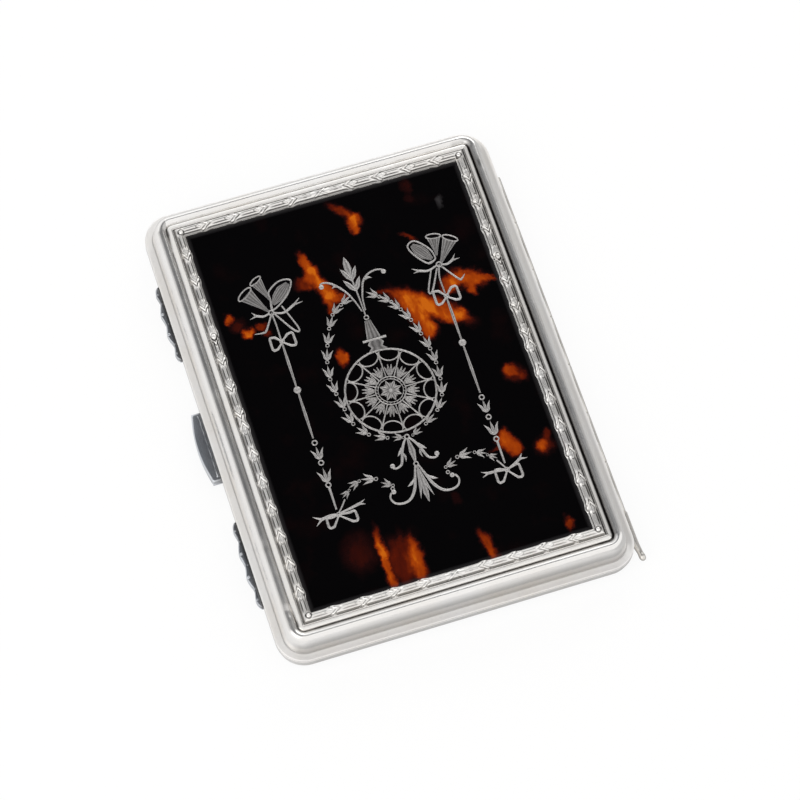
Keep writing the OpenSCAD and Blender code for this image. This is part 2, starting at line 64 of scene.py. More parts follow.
# ---------------------------------------------------------------- materials
class Nodes:
    """Short ways to add nodes to a tree. A socket takes a value, a colour or another node's output."""

    def __init__(self, tree):
        self.tree = tree

    def put(self, socket, value):
        if hasattr(value, "is_linked"):
            self.tree.links.new(value, socket)
        elif isinstance(value, tuple) and len(value) < len(socket.default_value):
            socket.default_value = (*value, 1)
        else:
            socket.default_value = value

    def add(self, kind, sockets=None, **settings):
        node = self.tree.nodes.new("ShaderNode" + kind)
        for key, value in settings.items():
            setattr(node, key, value)
        for key, value in (sockets or {}).items():
            self.put(node.inputs[key], value)
        return node

    def math(self, op, *values, clamp=False):
        return self.add("Math", dict(enumerate(values)), operation=op, use_clamp=clamp).outputs[0]

    def ranged(self, value, low, high, start, end, kind="LINEAR"):
        sockets = {0: value, 1: low, 2: high, 3: start, 4: end}
        return self.add("MapRange", sockets, interpolation_type=kind).outputs[0]

    def soft(self, *values):
        return self.ranged(*values, kind="SMOOTHSTEP")

    def mix(self, fac, a, b):
        return self.add("Mix", {0: fac, 6: a, 7: b}, data_type="RGBA").outputs[2]

    def split(self, vector):
        return self.add("SeparateXYZ", {0: vector}).outputs


class Shader(Nodes):
    """A material with its Principled shader, drawn in mm."""

    def __init__(self, name):
        self.mat = bpy.data.materials.new(name)
        self.mat.use_nodes = True
        super().__init__(self.mat.node_tree)
        self.mm = self.scaled(self.add("TexCoord").outputs["Object"], (1000, 1000, 1000))

    def scaled(self, vector, scale):
        return self.add("Mapping", {"Vector": vector, "Scale": scale}).outputs[0]

    def noise(self, scale, detail=3.0, rough=0.55, stretch=None, distortion=0.0, out="Fac"):
        vector = self.scaled(self.mm, stretch) if stretch else self.mm
        return self.add("TexNoise", {"Vector": vector, "Scale": scale, "Detail": detail,
                                     "Roughness": rough, "Distortion": distortion}).outputs[out]

    def ramp(self, fac, *stops):
        node = self.add("ValToRGB", {"Fac": fac})
        e = node.color_ramp.elements
        while len(e) < len(stops):
            e.new(0.5)
        for i, (place, tone) in enumerate(stops):
            e[i].position = place
            e[i].color = (*tone, 1) if isinstance(tone, tuple) else (tone, tone, tone, 1)
        return node.outputs["Color"]

    def bump(self, height, strength, distance, **under):
        sockets = {"Height": height, "Strength": strength, "Distance": distance, **under}
        return self.add("Bump", sockets).outputs[0]

    def attribute(self, name):
        return self.add("Attribute", attribute_name=name).outputs["Fac"]

    def done(self, sockets):
        for key, value in sockets.items():
            self.put(self.tree.nodes["Principled BSDF"].inputs[key], value)
        return self.mat


def silver(name, tone, rough, wave, fine=0.3, dark=0.0, groove=False, satin=0.0):
    """Polished silver: soft waves of hand work, fine scratches, a breath of tarnish."""
    s = Shader(name)
    tarnish = s.ramp(s.noise(0.11), (0.35, 0.0), (0.75, 1.0))
    warm = tuple(t * k for t, k in zip(tone, (0.93, 0.88, 0.80)))
    colour = s.mix(s.math("MULTIPLY", tarnish, 0.28), tone, warm)
    specks = s.ramp(s.noise(1.4, 4.0, 0.7), (0.60, 0.0), (0.78, 1.0))
    colour = s.mix(s.math("MULTIPLY", specks, 0.22 + dark), colour, tuple(t * 0.45 for t in tone))
    if groove:
        # With groove, each point's dark value paints the colour towards near black: painted shade in grooves,
        # creases and seams, and painted reflections of dim places, with some tarnish in the hollows.
        colour = s.mix(s.attribute("dark"), colour, (0.035, 0.030, 0.026))
    smear = s.noise(0.5, 5.0, 0.6, stretch=(1.0, 0.25, 1.0))
    dull = s.math("MULTIPLY_ADD", smear, 0.10, rough - 0.05)
    if satin:
        dull = s.math("MULTIPLY_ADD", s.attribute("satin"), satin, dull)
    hand = s.bump(s.noise(0.09, 2.0, 0.5), wave, 0.0006)
    scratch = s.bump(s.noise(5.0, 4.0, 0.7, stretch=(1.0, 0.08, 1.0)), fine, 0.00001, Normal=hand)
    return s.done({"Base Color": colour, "Metallic": 1.0, "Roughness": dull, "Normal": scratch})


# Amber clouds in the shell: centre, half sizes, turn in degrees, strength.
CLOUDS = [
    (-7.9, 30.9, 1.0, 2.2, 6, 0.85), (-7.3, 27.5, 1.5, 2.6, 0, 1.0), (-9.4, 26.0, 1.8, 1.4, 0, 0.45),
    (-6.1, 24.5, 1.5, 2.2, 28, 0.95), (-5.0, 21.8, 1.8, 1.7, 0, 1.0), (-3.3, 20.9, 1.6, 0.9, -15, 0.62),
    (-5.8, 19.2, 0.9, 1.4, 0, 0.6), (-27.0, 23.1, 0.9, 1.1, 0, 0.9), (-23.9, 18.8, 1.2, 1.2, 0, 1.0),
    (-25.6, 21.0, 1.6, 1.3, 40, 0.25), (-20.9, 19.4, 1.3, 0.9, 0, 0.55), (-20.0, 17.5, 0.9, 0.9, 0, 0.5),
    (-6.9, 7.7, 1.15, 1.8, 0, 1.0),
    (13.9, 13.6, 8.0, 2.1, -39, 1.0), (10.7, 12.8, 1.7, 4.6, 17, 0.95), (12.3, 8.2, 1.6, 2.1, 0, 0.9),
    (18.3, 9.9, 2.4, 1.4, -20, 0.9), (5.6, 19.3, 1.8, 0.6, -15, 0.36), (21.0, 17.4, 2.9, 2.1, 10, 0.95),
    (24.8, 16.9, 2.5, 1.7, -30, 0.9), (27.8, 16.3, 1.9, 0.6, -28, 0.6), (23.6, 14.7, 1.0, 1.4, -10, 0.8),
    (18.6, 15.8, 1.3, 1.2, 0, 0.7), (2.9, 40.0, 2.9, 1.1, -48, 0.55), (4.9, 36.8, 1.5, 1.7, 0, 1.0),
    (4.5, 34.9, 0.9, 1.3, -15, 0.8), (17.9, 41.5, 1.0, 1.5, 0, 0.18), (17.5, 38.6, 0.9, 1.0, 0, 0.13),
    (14.5, 30.0, 1.9, 0.55, -42, 0.42), (25.3, -5.4, 1.3, 1.2, 0, 0.66), (25.8, -6.2, 2.2, 1.9, -30, 0.34),
    (27.4, -7.3, 1.4, 0.9, -35, 0.30), (19.3, -20.0, 1.6, 2.3, 12, 0.95),
    (20.6, -22.3, 1.4, 1.5, 30, 0.85), (17.2, -21.2, 1.8, 0.55, 10, 0.36), (26.0, -23.4, 1.1, 1.2, 0, 0.70),
    (26.4, -23.6, 1.9, 1.9, 0, 0.34), (27.9, -21.3, 0.9, 1.2, 0, 0.35),
    (-12.2, -38.0, 0.85, 6.4, 0, 1.0), (-9.6, -39.4, 2.0, 5.2, 0, 0.40), (-7.8, -37.6, 0.9, 4.4, 0, 0.30),
    (-6.0, -39.4, 1.35, 4.8, 0, 0.98), (-16.6, -34.5, 3.4, 3.8, 0, 0.20), (8.6, -40.8, 1.1, 3.6, 12, 0.72),
    (5.7, -29.2, 0.9, 1.3, 0, 0.15), (26.0, -41.2, 0.9, 1.5, 0, 0.6),
]


def tortoiseshell():
    """Near black shell with amber and red clouds, drawn out in streaks, under a high polish."""
    s = Shader("tortoiseshell")
    warp = s.noise(0.42, 4.0, 0.6, out="Color")
    shift = s.add("VectorMath", {0: warp, 1: (2.6, 3.4, 0), 2: s.mm}, operation="MULTIPLY_ADD")
    moved = s.add("VectorMath", {0: shift.outputs[0], 1: (1.3, 1.7, 0)}, operation="SUBTRACT").outputs[0]

    def far(x, y, a, b, turn):
        """Distance from the middle of a cloud, 1 at its half sizes."""
        local = s.add("Mapping", {"Vector": moved, "Location": (x, y, FACE_Z), "Scale": (a, b, 50),
                                  "Rotation": (0, 0, math.radians(turn))}, vector_type="TEXTURE")
        return s.add("VectorMath", {0: local.outputs[0]}, operation="LENGTH").outputs["Value"]

    total = 0.0
    for *cloud, power in CLOUDS:
        amber = s.soft(far(*cloud), 1.55, 0.42, 0.0, power)
        total = s.math("MULTIPLY_ADD", total, s.math("SUBTRACT", 1.0, amber), amber)
    streak = s.noise(0.42, stretch=(1.0, 0.45, 1.0))
    broken = s.math("MULTIPLY", total, s.math("MULTIPLY_ADD", streak, 1.05, 0.40), clamp=True)
    haze = s.ramp(s.noise(0.13), (0.55, 0.0), (0.85, 0.06))
    colour = s.ramp(
        s.math("ADD", broken, haze, clamp=True),
        (0.0, (0.0008, 0.0005, 0.0007)), (0.16, (0.012, 0.0020, 0.0018)), (0.40, (0.085, 0.007, 0.0016)),
        (0.66, (0.25, 0.028, 0.0016)), (0.88, (0.39, 0.055, 0.002)), (1.0, (0.58, 0.125, 0.005)),
    )
    smudge = s.ramp(far(23.6, 35.9, 0.9, 2.0, -28), (0.1, 0.55), (0.95, 0.0))
    dust = s.ramp(s.noise(1.9, 5.0, 0.8), (0.735, 0.0), (0.80, 0.5))
    x, y, _ = s.split(s.mm)
    # rim: painted reflection of the moulding, a grey band just inside the panel's edge; smudge and dust are marks on
    # the shell itself.
    outside = [s.math("SUBTRACT", s.math("ABSOLUTE", c), half) for c, half in ((x, 28.9), (y, 42.9))]
    rim = s.math("MULTIPLY", s.math("MAXIMUM", *outside), 0.62, clamp=True)
    smudge_dust_and_edge_reflection = s.math("ADD", smudge, s.math("MULTIPLY", dust, 0.35), clamp=True)
    smudge_dust_and_edge_reflection = s.math("ADD", smudge_dust_and_edge_reflection, s.math("MULTIPLY", rim, 0.8), clamp=True)
    swirl = s.bump(s.noise(0.10, 2.0), 0.25, 0.0004)
    return s.done({
        "Base Color": s.mix(smudge_dust_and_edge_reflection, colour, (0.055, 0.052, 0.054)),
        "Specular IOR Level": 0.20,
        "Roughness": s.math("MULTIPLY_ADD", s.noise(0.25, 5.0, 0.65), 0.10, 0.03),
        "Normal": s.bump(s.noise(6.0, 5.0, 0.75, stretch=(1.0, 0.1, 1.0)), 0.08, 0.00001, Normal=swirl),
    })


def inlay_silver():
    """Flat inlaid silver, engraved with fine strokes and a little dull."""
    s = Shader("inlay_silver")
    tone = s.mix(s.noise(0.35), (0.66, 0.645, 0.63), (0.46, 0.445, 0.44))
    cuts = s.ramp(s.noise(3.2, 4.0, 0.7), (0.44, 0.0), (0.62, 1.0))
    tone = s.mix(s.math("MULTIPLY", cuts, 0.40), tone, (0.12, 0.11, 0.11))
    return s.done({
        "Base Color": s.mix(s.attribute("dark"), tone, (0.045, 0.040, 0.040)),
        "Metallic": 0.85,
        "Roughness": s.math("MULTIPLY_ADD", s.noise(1.0), 0.2, 0.28),
        "Normal": s.bump(s.noise(2.6, 4.0, 0.7), 0.5, 0.00006),
    })


def watered_silk():
    """Watered silk: close ribs with slow shimmering bands."""
    s = Shader("watered_silk")

    def bands(sockets):
        kind = {"wave_type": "BANDS", "bands_direction": "Y"}
        return s.add("TexWave", {"Vector": s.mm, **sockets}, **kind).outputs["Fac"]

    slow = s.noise(0.10, 2.0, 0.5, stretch=(0.45, 1.5, 1.0), distortion=1.2)
    water = bands({"Scale": 0.35, "Distortion": 9.0, "Detail": 3.0, "Detail Scale": 0.5})
    sheen = s.math("MULTIPLY_ADD", water, 0.55, s.math("MULTIPLY", slow, 0.45))
    ribs = bands({"Scale": 1.3, "Distortion": 0.4})
    return s.done({
        "Base Color": s.ramp(sheen, (0.2, (0.060, 0.085, 0.120)), (0.55, (0.105, 0.145, 0.195)),
                             (0.9, (0.20, 0.26, 0.33))),
        "Roughness": 0.5,
        "Sheen Weight": 0.35,
        "Normal": s.bump(ribs, 0.35, 0.00012),
    })


SILVER = silver("case_silver", (0.925, 0.915, 0.905), 0.24, wave=0.3, fine=0.12, groove=True, satin=0.34)
MOULD = silver("moulding_silver", (0.93, 0.918, 0.90), 0.20, wave=0.1, fine=0.2, groove=True, satin=0.36)
JOINT = silver("joint_silver", (0.76, 0.74, 0.71), 0.26, wave=0.1, dark=0.12)
# mount_silver is a darker, bluish copy of the case silver: painted shade and a painted reflection of the dim bluish
# room.
MOUNT = silver("mount_silver", (0.70, 0.73, 0.78), 0.20, wave=0.25, dark=0.25, groove=True)
INSIDE = silver("inside_silver", (0.86, 0.83, 0.76), 0.24, wave=0.3, dark=0.05)
STEEL = silver("spring_steel", (0.45, 0.47, 0.50), 0.32, wave=0.1)
SHELL = tortoiseshell()
INLAY = inlay_silver()
SILK = watered_silk()


# ------------------------------------------------------------------- meshes
def show(name, data):
    obj = bpy.data.objects.new(name, data)
    bpy.context.scene.collection.objects.link(obj)
    return obj


def mesh_of(name, verts, faces):
    mesh = bpy.data.meshes.new(name)
    mesh.from_pydata([tuple(c * MM for c in v) for v in verts], [], faces)
    return mesh


def add(parts):
    """Joins several (points, faces) into one."""
    verts, faces = [], []
    for v, f in parts:
        k = len(verts)
        verts += list(v)
        faces += [tuple(i + k for i in g) for g in f]
    return verts, faces


def weld(bm):
    bmesh.ops.remove_doubles(bm, verts=bm.verts, dist=2e-7)
    bmesh.ops.dissolve_degenerate(bm, edges=bm.edges, dist=1e-8)


def make(name, node, body, mat, parts, dark=None, satin=None, work=None, angle=38):
    """Makes a piece from parts in mm, rides it on its body and lets it stand for its CAD node."""
    mesh = mesh_of(name, *add(parts))
    for key, given in (("dark", dark), ("satin", satin)):
        if given is not None:
            values = mesh.attributes.new(key, "FLOAT", "POINT")
            values.data.foreach_set("value", np.asarray(given, np.float32))
    bm = bmesh.new()
    bm.from_mesh(mesh)
    if work:
        work(bm)
    bmesh.ops.recalc_face_normals(bm, faces=bm.faces)
    bm.to_mesh(mesh)
    bm.free()
    for p in mesh.polygons:
        p.use_smooth = True
    mesh.materials.append(mat)
    mesh.set_sharp_from_angle(angle=math.radians(angle))
    obj = show(name, mesh)
    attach(obj, body)
    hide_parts(node)
    return obj


def bridge(n, rows, first=0, around=True, closed=False):
    """Faces between rows of n points. Around joins the ends of a row, closed the last row to the first."""
    faces = []
    for i in range(rows if closed else rows - 1):
        a, b = first + i * n, first + (i + 1) % rows * n
        for j in range(n if around else n - 1):
            k = (j + 1) % n
            faces.append((a + j, a + k, b + k, b + j))
    return faces


def caps(n, rows, first=0):
    last = first + (rows - 1) * n
    return [tuple(range(first, first + n))[::-1], tuple(range(last, last + n))]


def circle(n):
    """Cosine and sine of n steps round a full turn."""
    return [(math.cos(2 * math.pi * i / n), math.sin(2 * math.pi * i / n)) for i in range(n)]


def arc(cx, cz, a, b, start, end, n):
    """Points on part of an ellipse, in degrees."""
    t = np.radians(np.linspace(start, end, n + 1))
    return [(cx + a * math.cos(x), cz + b * math.sin(x)) for x in t]


def fillet(points):
    """Rounds the corners of a line of (s, z, radius) points."""
    out = []
    for i, (x, y, r) in enumerate(points):
        if r <= 0 or i in (0, len(points) - 1):
            out.append((x, y))
            continue
        p = Vector((x, y))
        a = Vector(points[i - 1][:2]) - p
        b = Vector(points[i + 1][:2]) - p
        r = min(r, a.length * 0.48, b.length * 0.48)
        a, b = p + a.normalized() * r, p + b.normalized() * r
        for t in (0, 0.25, 0.5, 0.75, 1):
            out.append(tuple(a * (1 - t) ** 2 + p * 2 * t * (1 - t) + b * t * t))
    return out


def side_path(b, arcs, step):
    """Samples along one side, from bisector to bisector: (kind, angle, place along the side)."""
    straight = b - CORNER
    n = max(2, round(2 * straight / step))
    out = [("lo", math.radians(-45 + 45 * i / arcs), 0.0) for i in range(arcs)]
    out += [("mid", 0.0, -straight + 2 * straight * i / n) for i in range(n + 1)]
    return out + [("hi", math.radians(45 * (i + 1) / arcs), 0.0) for i in range(arcs)]


def side_point(a, b, sample, s):
    """Where a sample of the +X side lies at an inset s."""
    kind, angle, y = sample
    if kind == "mid":
        lim = b - max(s, CORNER)
        return a - s, max(-lim, min(lim, y))
    sign = 1 if kind == "hi" else -1
    if s >= CORNER:
        return a - s, sign * (b - s)
    r = CORNER - s
    return a - CORNER + r * math.cos(angle), sign * (b - CORNER) + r * math.sin(angle)


SIDES = {"right": 0, "top": 90, "left": 180, "bottom": 270}


def side_sizes(side):
    return (HALF_L, HALF_W) if side in ("top", "bottom") else (HALF_W, HALF_L)


def turned(x, y, degrees):
    c, s = (round(f(math.radians(degrees)), 12) for f in (math.cos, math.sin))
    return x * c - y * s, x * s + y * c


def sweep_ring(section, arcs, step, closed=True):
    """Sweeps a section of (inset, height) points round the case. Returns points, faces and rows."""
    verts = []
    for side, degrees in SIDES.items():
        a, b = side_sizes(side)
        for sample in side_path(b, arcs, step)[:-1]:
            verts += [(*turned(*side_point(a, b, sample, s), degrees), z) for s, z in section]
    rows = len(verts) // len(section)
    return verts, bridge(len(section), rows, around=closed, closed=True), rows


def clamp(value):
    return min(1.0, max(0.0, value))


def slab(outline, z0, z1, r, steps):
    """Plate with rounded edges over an outline that runs anticlockwise."""
    pts = [Vector(p) for p in outline]
    n = len(pts)
    inward = []
    for i in range(n):
        e = (pts[i] - pts[i - 1]).normalized() + (pts[(i + 1) % n] - pts[i]).normalized()
        e = e.normalized() if e.length > 1e-9 else Vector((1, 0))
        inward.append(Vector((-e.y, e.x)))
    turns = [math.pi / 2 * i / steps for i in range(steps + 1)]
    rows = [(r * (1 - math.sin(t)), z0 + r * (1 - math.cos(t))) for t in turns]
    rows += [(r * (1 - math.cos(t)), z1 - r * (1 - math.sin(t))) for t in turns]
    verts = [(*(p + q * inset), z) for inset, z in rows for p, q in zip(pts, inward)]
    return verts, bridge(n, len(rows)) + caps(n, len(rows))


def block(x0, x1, y0, y1, z0, z1, r):
    return slab([(x0, y0), (x1, y0), (x1, y1), (x0, y1)], z0, z1, r, 2)


def lathe_y(profile, n=32):
    """Turns a profile of (y, radius) about the line of the hinge."""
    verts = [(HINGE_X + r * c, y, HINGE_Z + r * s) for y, r in profile for c, s in circle(n)]
    return verts, bridge(n, len(profile)) + caps(n, len(profile))


def tube(path, z, n=28):
    """Round bar along a level line of (x, y, radius) points."""
    verts = []
    for i, (x, y, r) in enumerate(path):
        a, b = path[max(i - 1, 0)], path[min(i + 1, len(path) - 1)]
        d = Vector((b[0] - a[0], b[1] - a[1])).normalized()
        verts += [(x - d.y * r * c, y + d.x * r * c, z + r * s) for c, s in circle(n)]
    return verts, bridge(n, len(path)) + caps(n, len(path))


def rounded_rod(y0, y1, r, edge=0.14):
    """Profile of a rod with softened ends."""
    return [(y0, r - edge), (y0 + edge * 0.3, r - edge * 0.3), (y0 + edge, r),
            (y1 - edge, r), (y1 - edge * 0.3, r - edge * 0.3), (y1, r - edge)]


def ball(cx, cy, cz, r, squash=1.0, n=20):
    """Ball of rings, or a flattened one."""
    rings = n // 2
    verts = []
    for i in range(1, rings):
        t = math.pi * i / rings
        verts += [(cx + r * math.sin(t) * c, cy + r * math.sin(t) * s, cz + r * squash * math.cos(t))
                  for c, s in circle(n)]
    top = len(verts)
    verts += [(cx, cy, cz + r * squash), (cx, cy, cz - r * squash)]
    faces = bridge(n, rings - 1)
    for j in range(n):
        k = (j + 1) % n
        faces += [(top, k, j), (top - n + j, top - n + k, top + 1)]
    return verts, faces


# --------------------------------------------------------------- the shells
# Small dents in the lid's sheet: x, y, width, depth.
DENTS = [
    (-33.9, -42.5, 0.8, 0.20), (32.6, 48.4, 0.9, 0.16), (34.5, 41.2, 0.6, 0.05), (-34.8, -28.0, 1.6, 0.10),
    (-34.6, 9.0, 1.8, 0.06), (34.9, -49.0, 0.9, 0.12), (12.0, -50.6, 2.4, 0.05), (-20.0, 50.4, 2.0, 0.05),
    (-34.5, 30.5, 1.4, 0.05),
]


def lid_shade(x, y, z, s):
    """Painted shade on the lid's sheet at a point, s in from its edge: in the groove by the moulding (with some
    tarnish there), in corners, creases and the seam, on the right lip, and painted reflections where the sheet
    mirrors the dusk (the bottom roll's foot, the left roll's inner slope); also two dark marks by the dents.
    """
    low = clamp(0.5 + (-y - HALF_L - abs(x) + HALF_W) / 3)
    top = clamp(0.5 + (y - HALF_L - abs(x) + HALF_W) / 3)
    groove = 0.50 + 0.22 * (x > 30) - 0.22 * (x < -30) - 0.06 * low - 0.45 * top
    groove *= clamp((s - 3.7) / 0.6) * (z > 9.7)
    foot = low * 0.54 * clamp(1 - (max(z - 5.9, 0) / 3.8) ** 1.6) * (1.6 < s < 3.5)
    crease = 0.35 * (1.5 < s < 1.66 and z > 5.8) + 0.6 * (s < 0.12 and z < SEAM + 0.03)
    side = 0.30 * clamp((x - 36.2) / 0.3) * (0.62 < s < 1.7) * (z > 5.8) * clamp((50 - abs(y)) / 3)
    mark = 0.7 * math.exp(-(((x - 34.2) / 0.3) ** 2) - ((y - 41.6) / 1.3) ** 2)
    mark += 0.7 * math.exp(-((x - 33.5) ** 2 + (y - 46.8) ** 2) / 0.8)
    cool = (0.20 + 0.20 * clamp((y + 32) / 8)) * clamp((s - 2.95) / 0.6) * (x < -33) * (z > 9.5)
    return max(groove, foot, crease, side, cool, mark * (z > 9))


def lid_shell():
    """One sheet: lip, roll, groove and seat."""
    step, under = SEAM + 0.7, GROOVE_Z - 0.6
    line = fillet([(2.25, SEAM, 0), (1.6, SEAM, 0), (0.0, SEAM, 0.10), (0.0, step, 0.26),
                   (0.7, SEAM + 0.66, 0), (1.35, SEAM + 0.67, 0)])
    line += [(1.56, SEAM + 0.69)] + arc(CREST_S, step, 1.85, 5.1, 180, 90, 20)[1:]
    line += arc(CREST_S, GROOVE_Z, 1.25, 1.25, 90, 0, 12)[1:]
    line += [(4.95, GROOVE_Z), (6.2, GROOVE_Z), (WINDOW_S, GROOVE_Z), (WINDOW_S, under), (6.2, under), (4.15, under)]
    line += arc(CREST_S, GROOVE_Z, 0.65, 0.65, 0, 90, 5) + arc(CREST_S, step, 1.25, 4.5, 90, 180, 10)[1:]
    verts, faces, rows = sweep_ring(line, arcs=9, step=0.8)
    satin = [float(s < 1.65 and z < SEAM + 0.75) for s, z in line] * rows
    dark = [lid_shade(*v, s) for v, (s, _) in zip(verts, line * rows)]
    dented = [(x, y, z - sum(deep * math.exp(-((x - cx) ** 2 + (y - cy) ** 2) / w**2) for cx, cy, w, deep in DENTS))
              for x, y, z in verts]
    make("lid_skin", "lid_shell", "lid", SILVER, [(dented, faces)], dark, satin, weld)


def cutter(x0, x1, y0, y1, z0, z1):
    corners = [(x, y, z) for z in (z0, z1) for x, y in ((x0, y0), (x1, y0), (x1, y1), (x0, y1))]
    return show("cutter", mesh_of("cutter", corners, bridge(4, 2) + caps(4, 2)))


def carve(obj, boxes):
    """Cuts boxes out of a piece and leaves its mesh plain."""
    tools = [cutter(*b) for b in boxes]
    for t in tools:
        m = obj.modifiers.new("cut", "BOOLEAN")
        m.operation = "DIFFERENCE"
        m.solver = "EXACT"
        m.object = t
    bpy.context.view_layer.update()
    graph = bpy.context.evaluated_depsgraph_get()
    old, obj.data = obj.data, bpy.data.meshes.new_from_object(obj.evaluated_get(graph))
    obj.modifiers.clear()
    bpy.data.meshes.remove(old)
    for t in tools:
        bpy.data.objects.remove(t)
    obj.data.set_sharp_from_angle(angle=math.radians(38))


def base_shell():
    """Bowed wall, lip and flat back, open for the hinge and the push piece."""
    line = [(8.0, 0.6), (5.5, 0.6)] + arc(4.0, 3.3, 3.2, 2.7, 270, 180, 10) + fillet([
        (0.8, 3.6, 0), (0.8, BASE_TOP, 0.06), (0.0, BASE_TOP, 0.12), (0.0, 3.9, 0.16), (0.2, 3.88, 0.05),
        (0.2, 3.5, 0),
    ]) + arc(4.0, 3.3, 3.8, 3.3, 180, 270, 18) + [(5.5, 0.0), (8.0, 0.0)]
    verts, faces, rows = sweep_ring(line, arcs=8, step=2.0, closed=False)
    n = len(line)
    faces += [tuple(range(0, rows * n, n)), tuple(range(n - 1, rows * n, n))[::-1]]
    obj = make("base_skin", "base_shell", "base", SILVER, [(verts, faces)], work=weld)
    carve(obj, [(36.5, 39, -40.4, 40.4, 2.85, 7.0), (-40, -36.4, -9.0, 7.4, 2.1, 4.5)])


def base_rim():
    """Ledge and upright wall inside the lip, open for the hinge and the hook's stem."""
    line = fillet([
        (0.83, 4.6, 0), (0.83, BASE_TOP, 0.05), (2.45, BASE_TOP, 0.08), (2.45, 6.2, 0.12), (2.95, 6.2, 0.12),
        (2.95, 1.05, 0), (2.45, 1.05, 0), (2.45, 4.6, 0),
    ])
    verts, faces, _ = sweep_ring(line, arcs=6, step=4.0)
    obj = make("rim_skin", "base_rim", "base", INSIDE, [(verts, faces)], work=weld)
    carve(obj, [(36.47, 39, -40.4, 40.4, 4.0, 6.0), (-36, -34.6, -4.2, 4.2, 2.6, 4.0)])


# ---------------------------------------------------------------- moulding
TIES = {"long": [0.7 + 6.28 * i for i in range(7)], "short": [5.5 + 6.35 * i for i in range(4)]}
# The reed bundle: its inset, height and half width, its steps and the degrees they take.
BUNDLE_S, BUNDLE_Z, BUNDLE_W = 7.05, 10.56, 0.90
BUNDLE_STEPS, BUNDLE_TURN = 28, 178
# How a side takes the light: from where across the bundle it is bright, and its inner edge's shade.
LIGHT = {"right": (0.30, 0.05), "top": (0.75, 0.7), "left": (2.0, 0.25), "bottom": (-1.0, 0.25)}


def bump_line(d, width):
    return np.exp(-((d / width) ** 2))


def dome(q):
    return np.sqrt(np.clip(1 - q**2, 0, 1))


def relief(v, u, kind, side):
    """Height and painted shade of the reed bundle, dark in its cut lines (shade with some oxide): v across from -1
    outside to 1, u along from the middle.
    """
    a = abs(u)
    edge = bump_line(np.abs(v) - 0.93, 0.11)
    h, dark = -0.12 * edge, 0.68 * edge
    reed = (0.50, 0.17) if kind == "long" else (0.38, 0.135)
    for n, t in enumerate(TIES[kind]):
        w = a - t
        if abs(w) > 6.6:
            continue
        arm = w - 1.5 * np.abs(v)
        if kind == "long" and n == 3 and (u > 0) == (side == "right"):
            q = np.sqrt((w / 0.66) ** 2 + (v / 0.62) ** 2)
            ring = bump_line(q - 1.2, 0.17)
            h = h + 0.28 * dome(q) - 0.16 * ring
            dark = dark + 0.9 * ring
            arm = arm + 1.6
        for c, k in ((-0.55, 1.0), (0.45, 0.85)):
            g = k * bump_line(arm - c, 0.17)
            h = h - 0.18 * g
            dark = dark + 0.95 * g
        q = np.sqrt(((w - 2.0) / 0.62) ** 2 + (v / 0.36) ** 2)
        line = bump_line(np.abs(v) - reed[0], reed[1]) * max(0.0, 1 - abs((w - 3.9) / 1.85) ** 3)
        h = h + 0.16 * bump_line(arm + 0.05, 0.30) + 0.05 * dome(q) - 0.22 * line
        dark = dark + 0.8 * bump_line(q - 1.2, 0.18) * (w > 1.6) + line
    if kind == "short":
        for k in (1, -1):
            d = u - k * 1.4 * v
            h = h + 0.10 * bump_line(d, 0.22) * (a < 2.0)
            dark = dark + 0.7 * bump_line(abs(d) - 0.42, 0.12) * (a < 2.0)
        for k in (2.9, 3.9):
            dark = dark + 0.7 * bump_line(np.abs(v) - 0.36, 0.10) * (abs(a - k) < 0.9)
    return h, np.clip(dark, 0, 1)


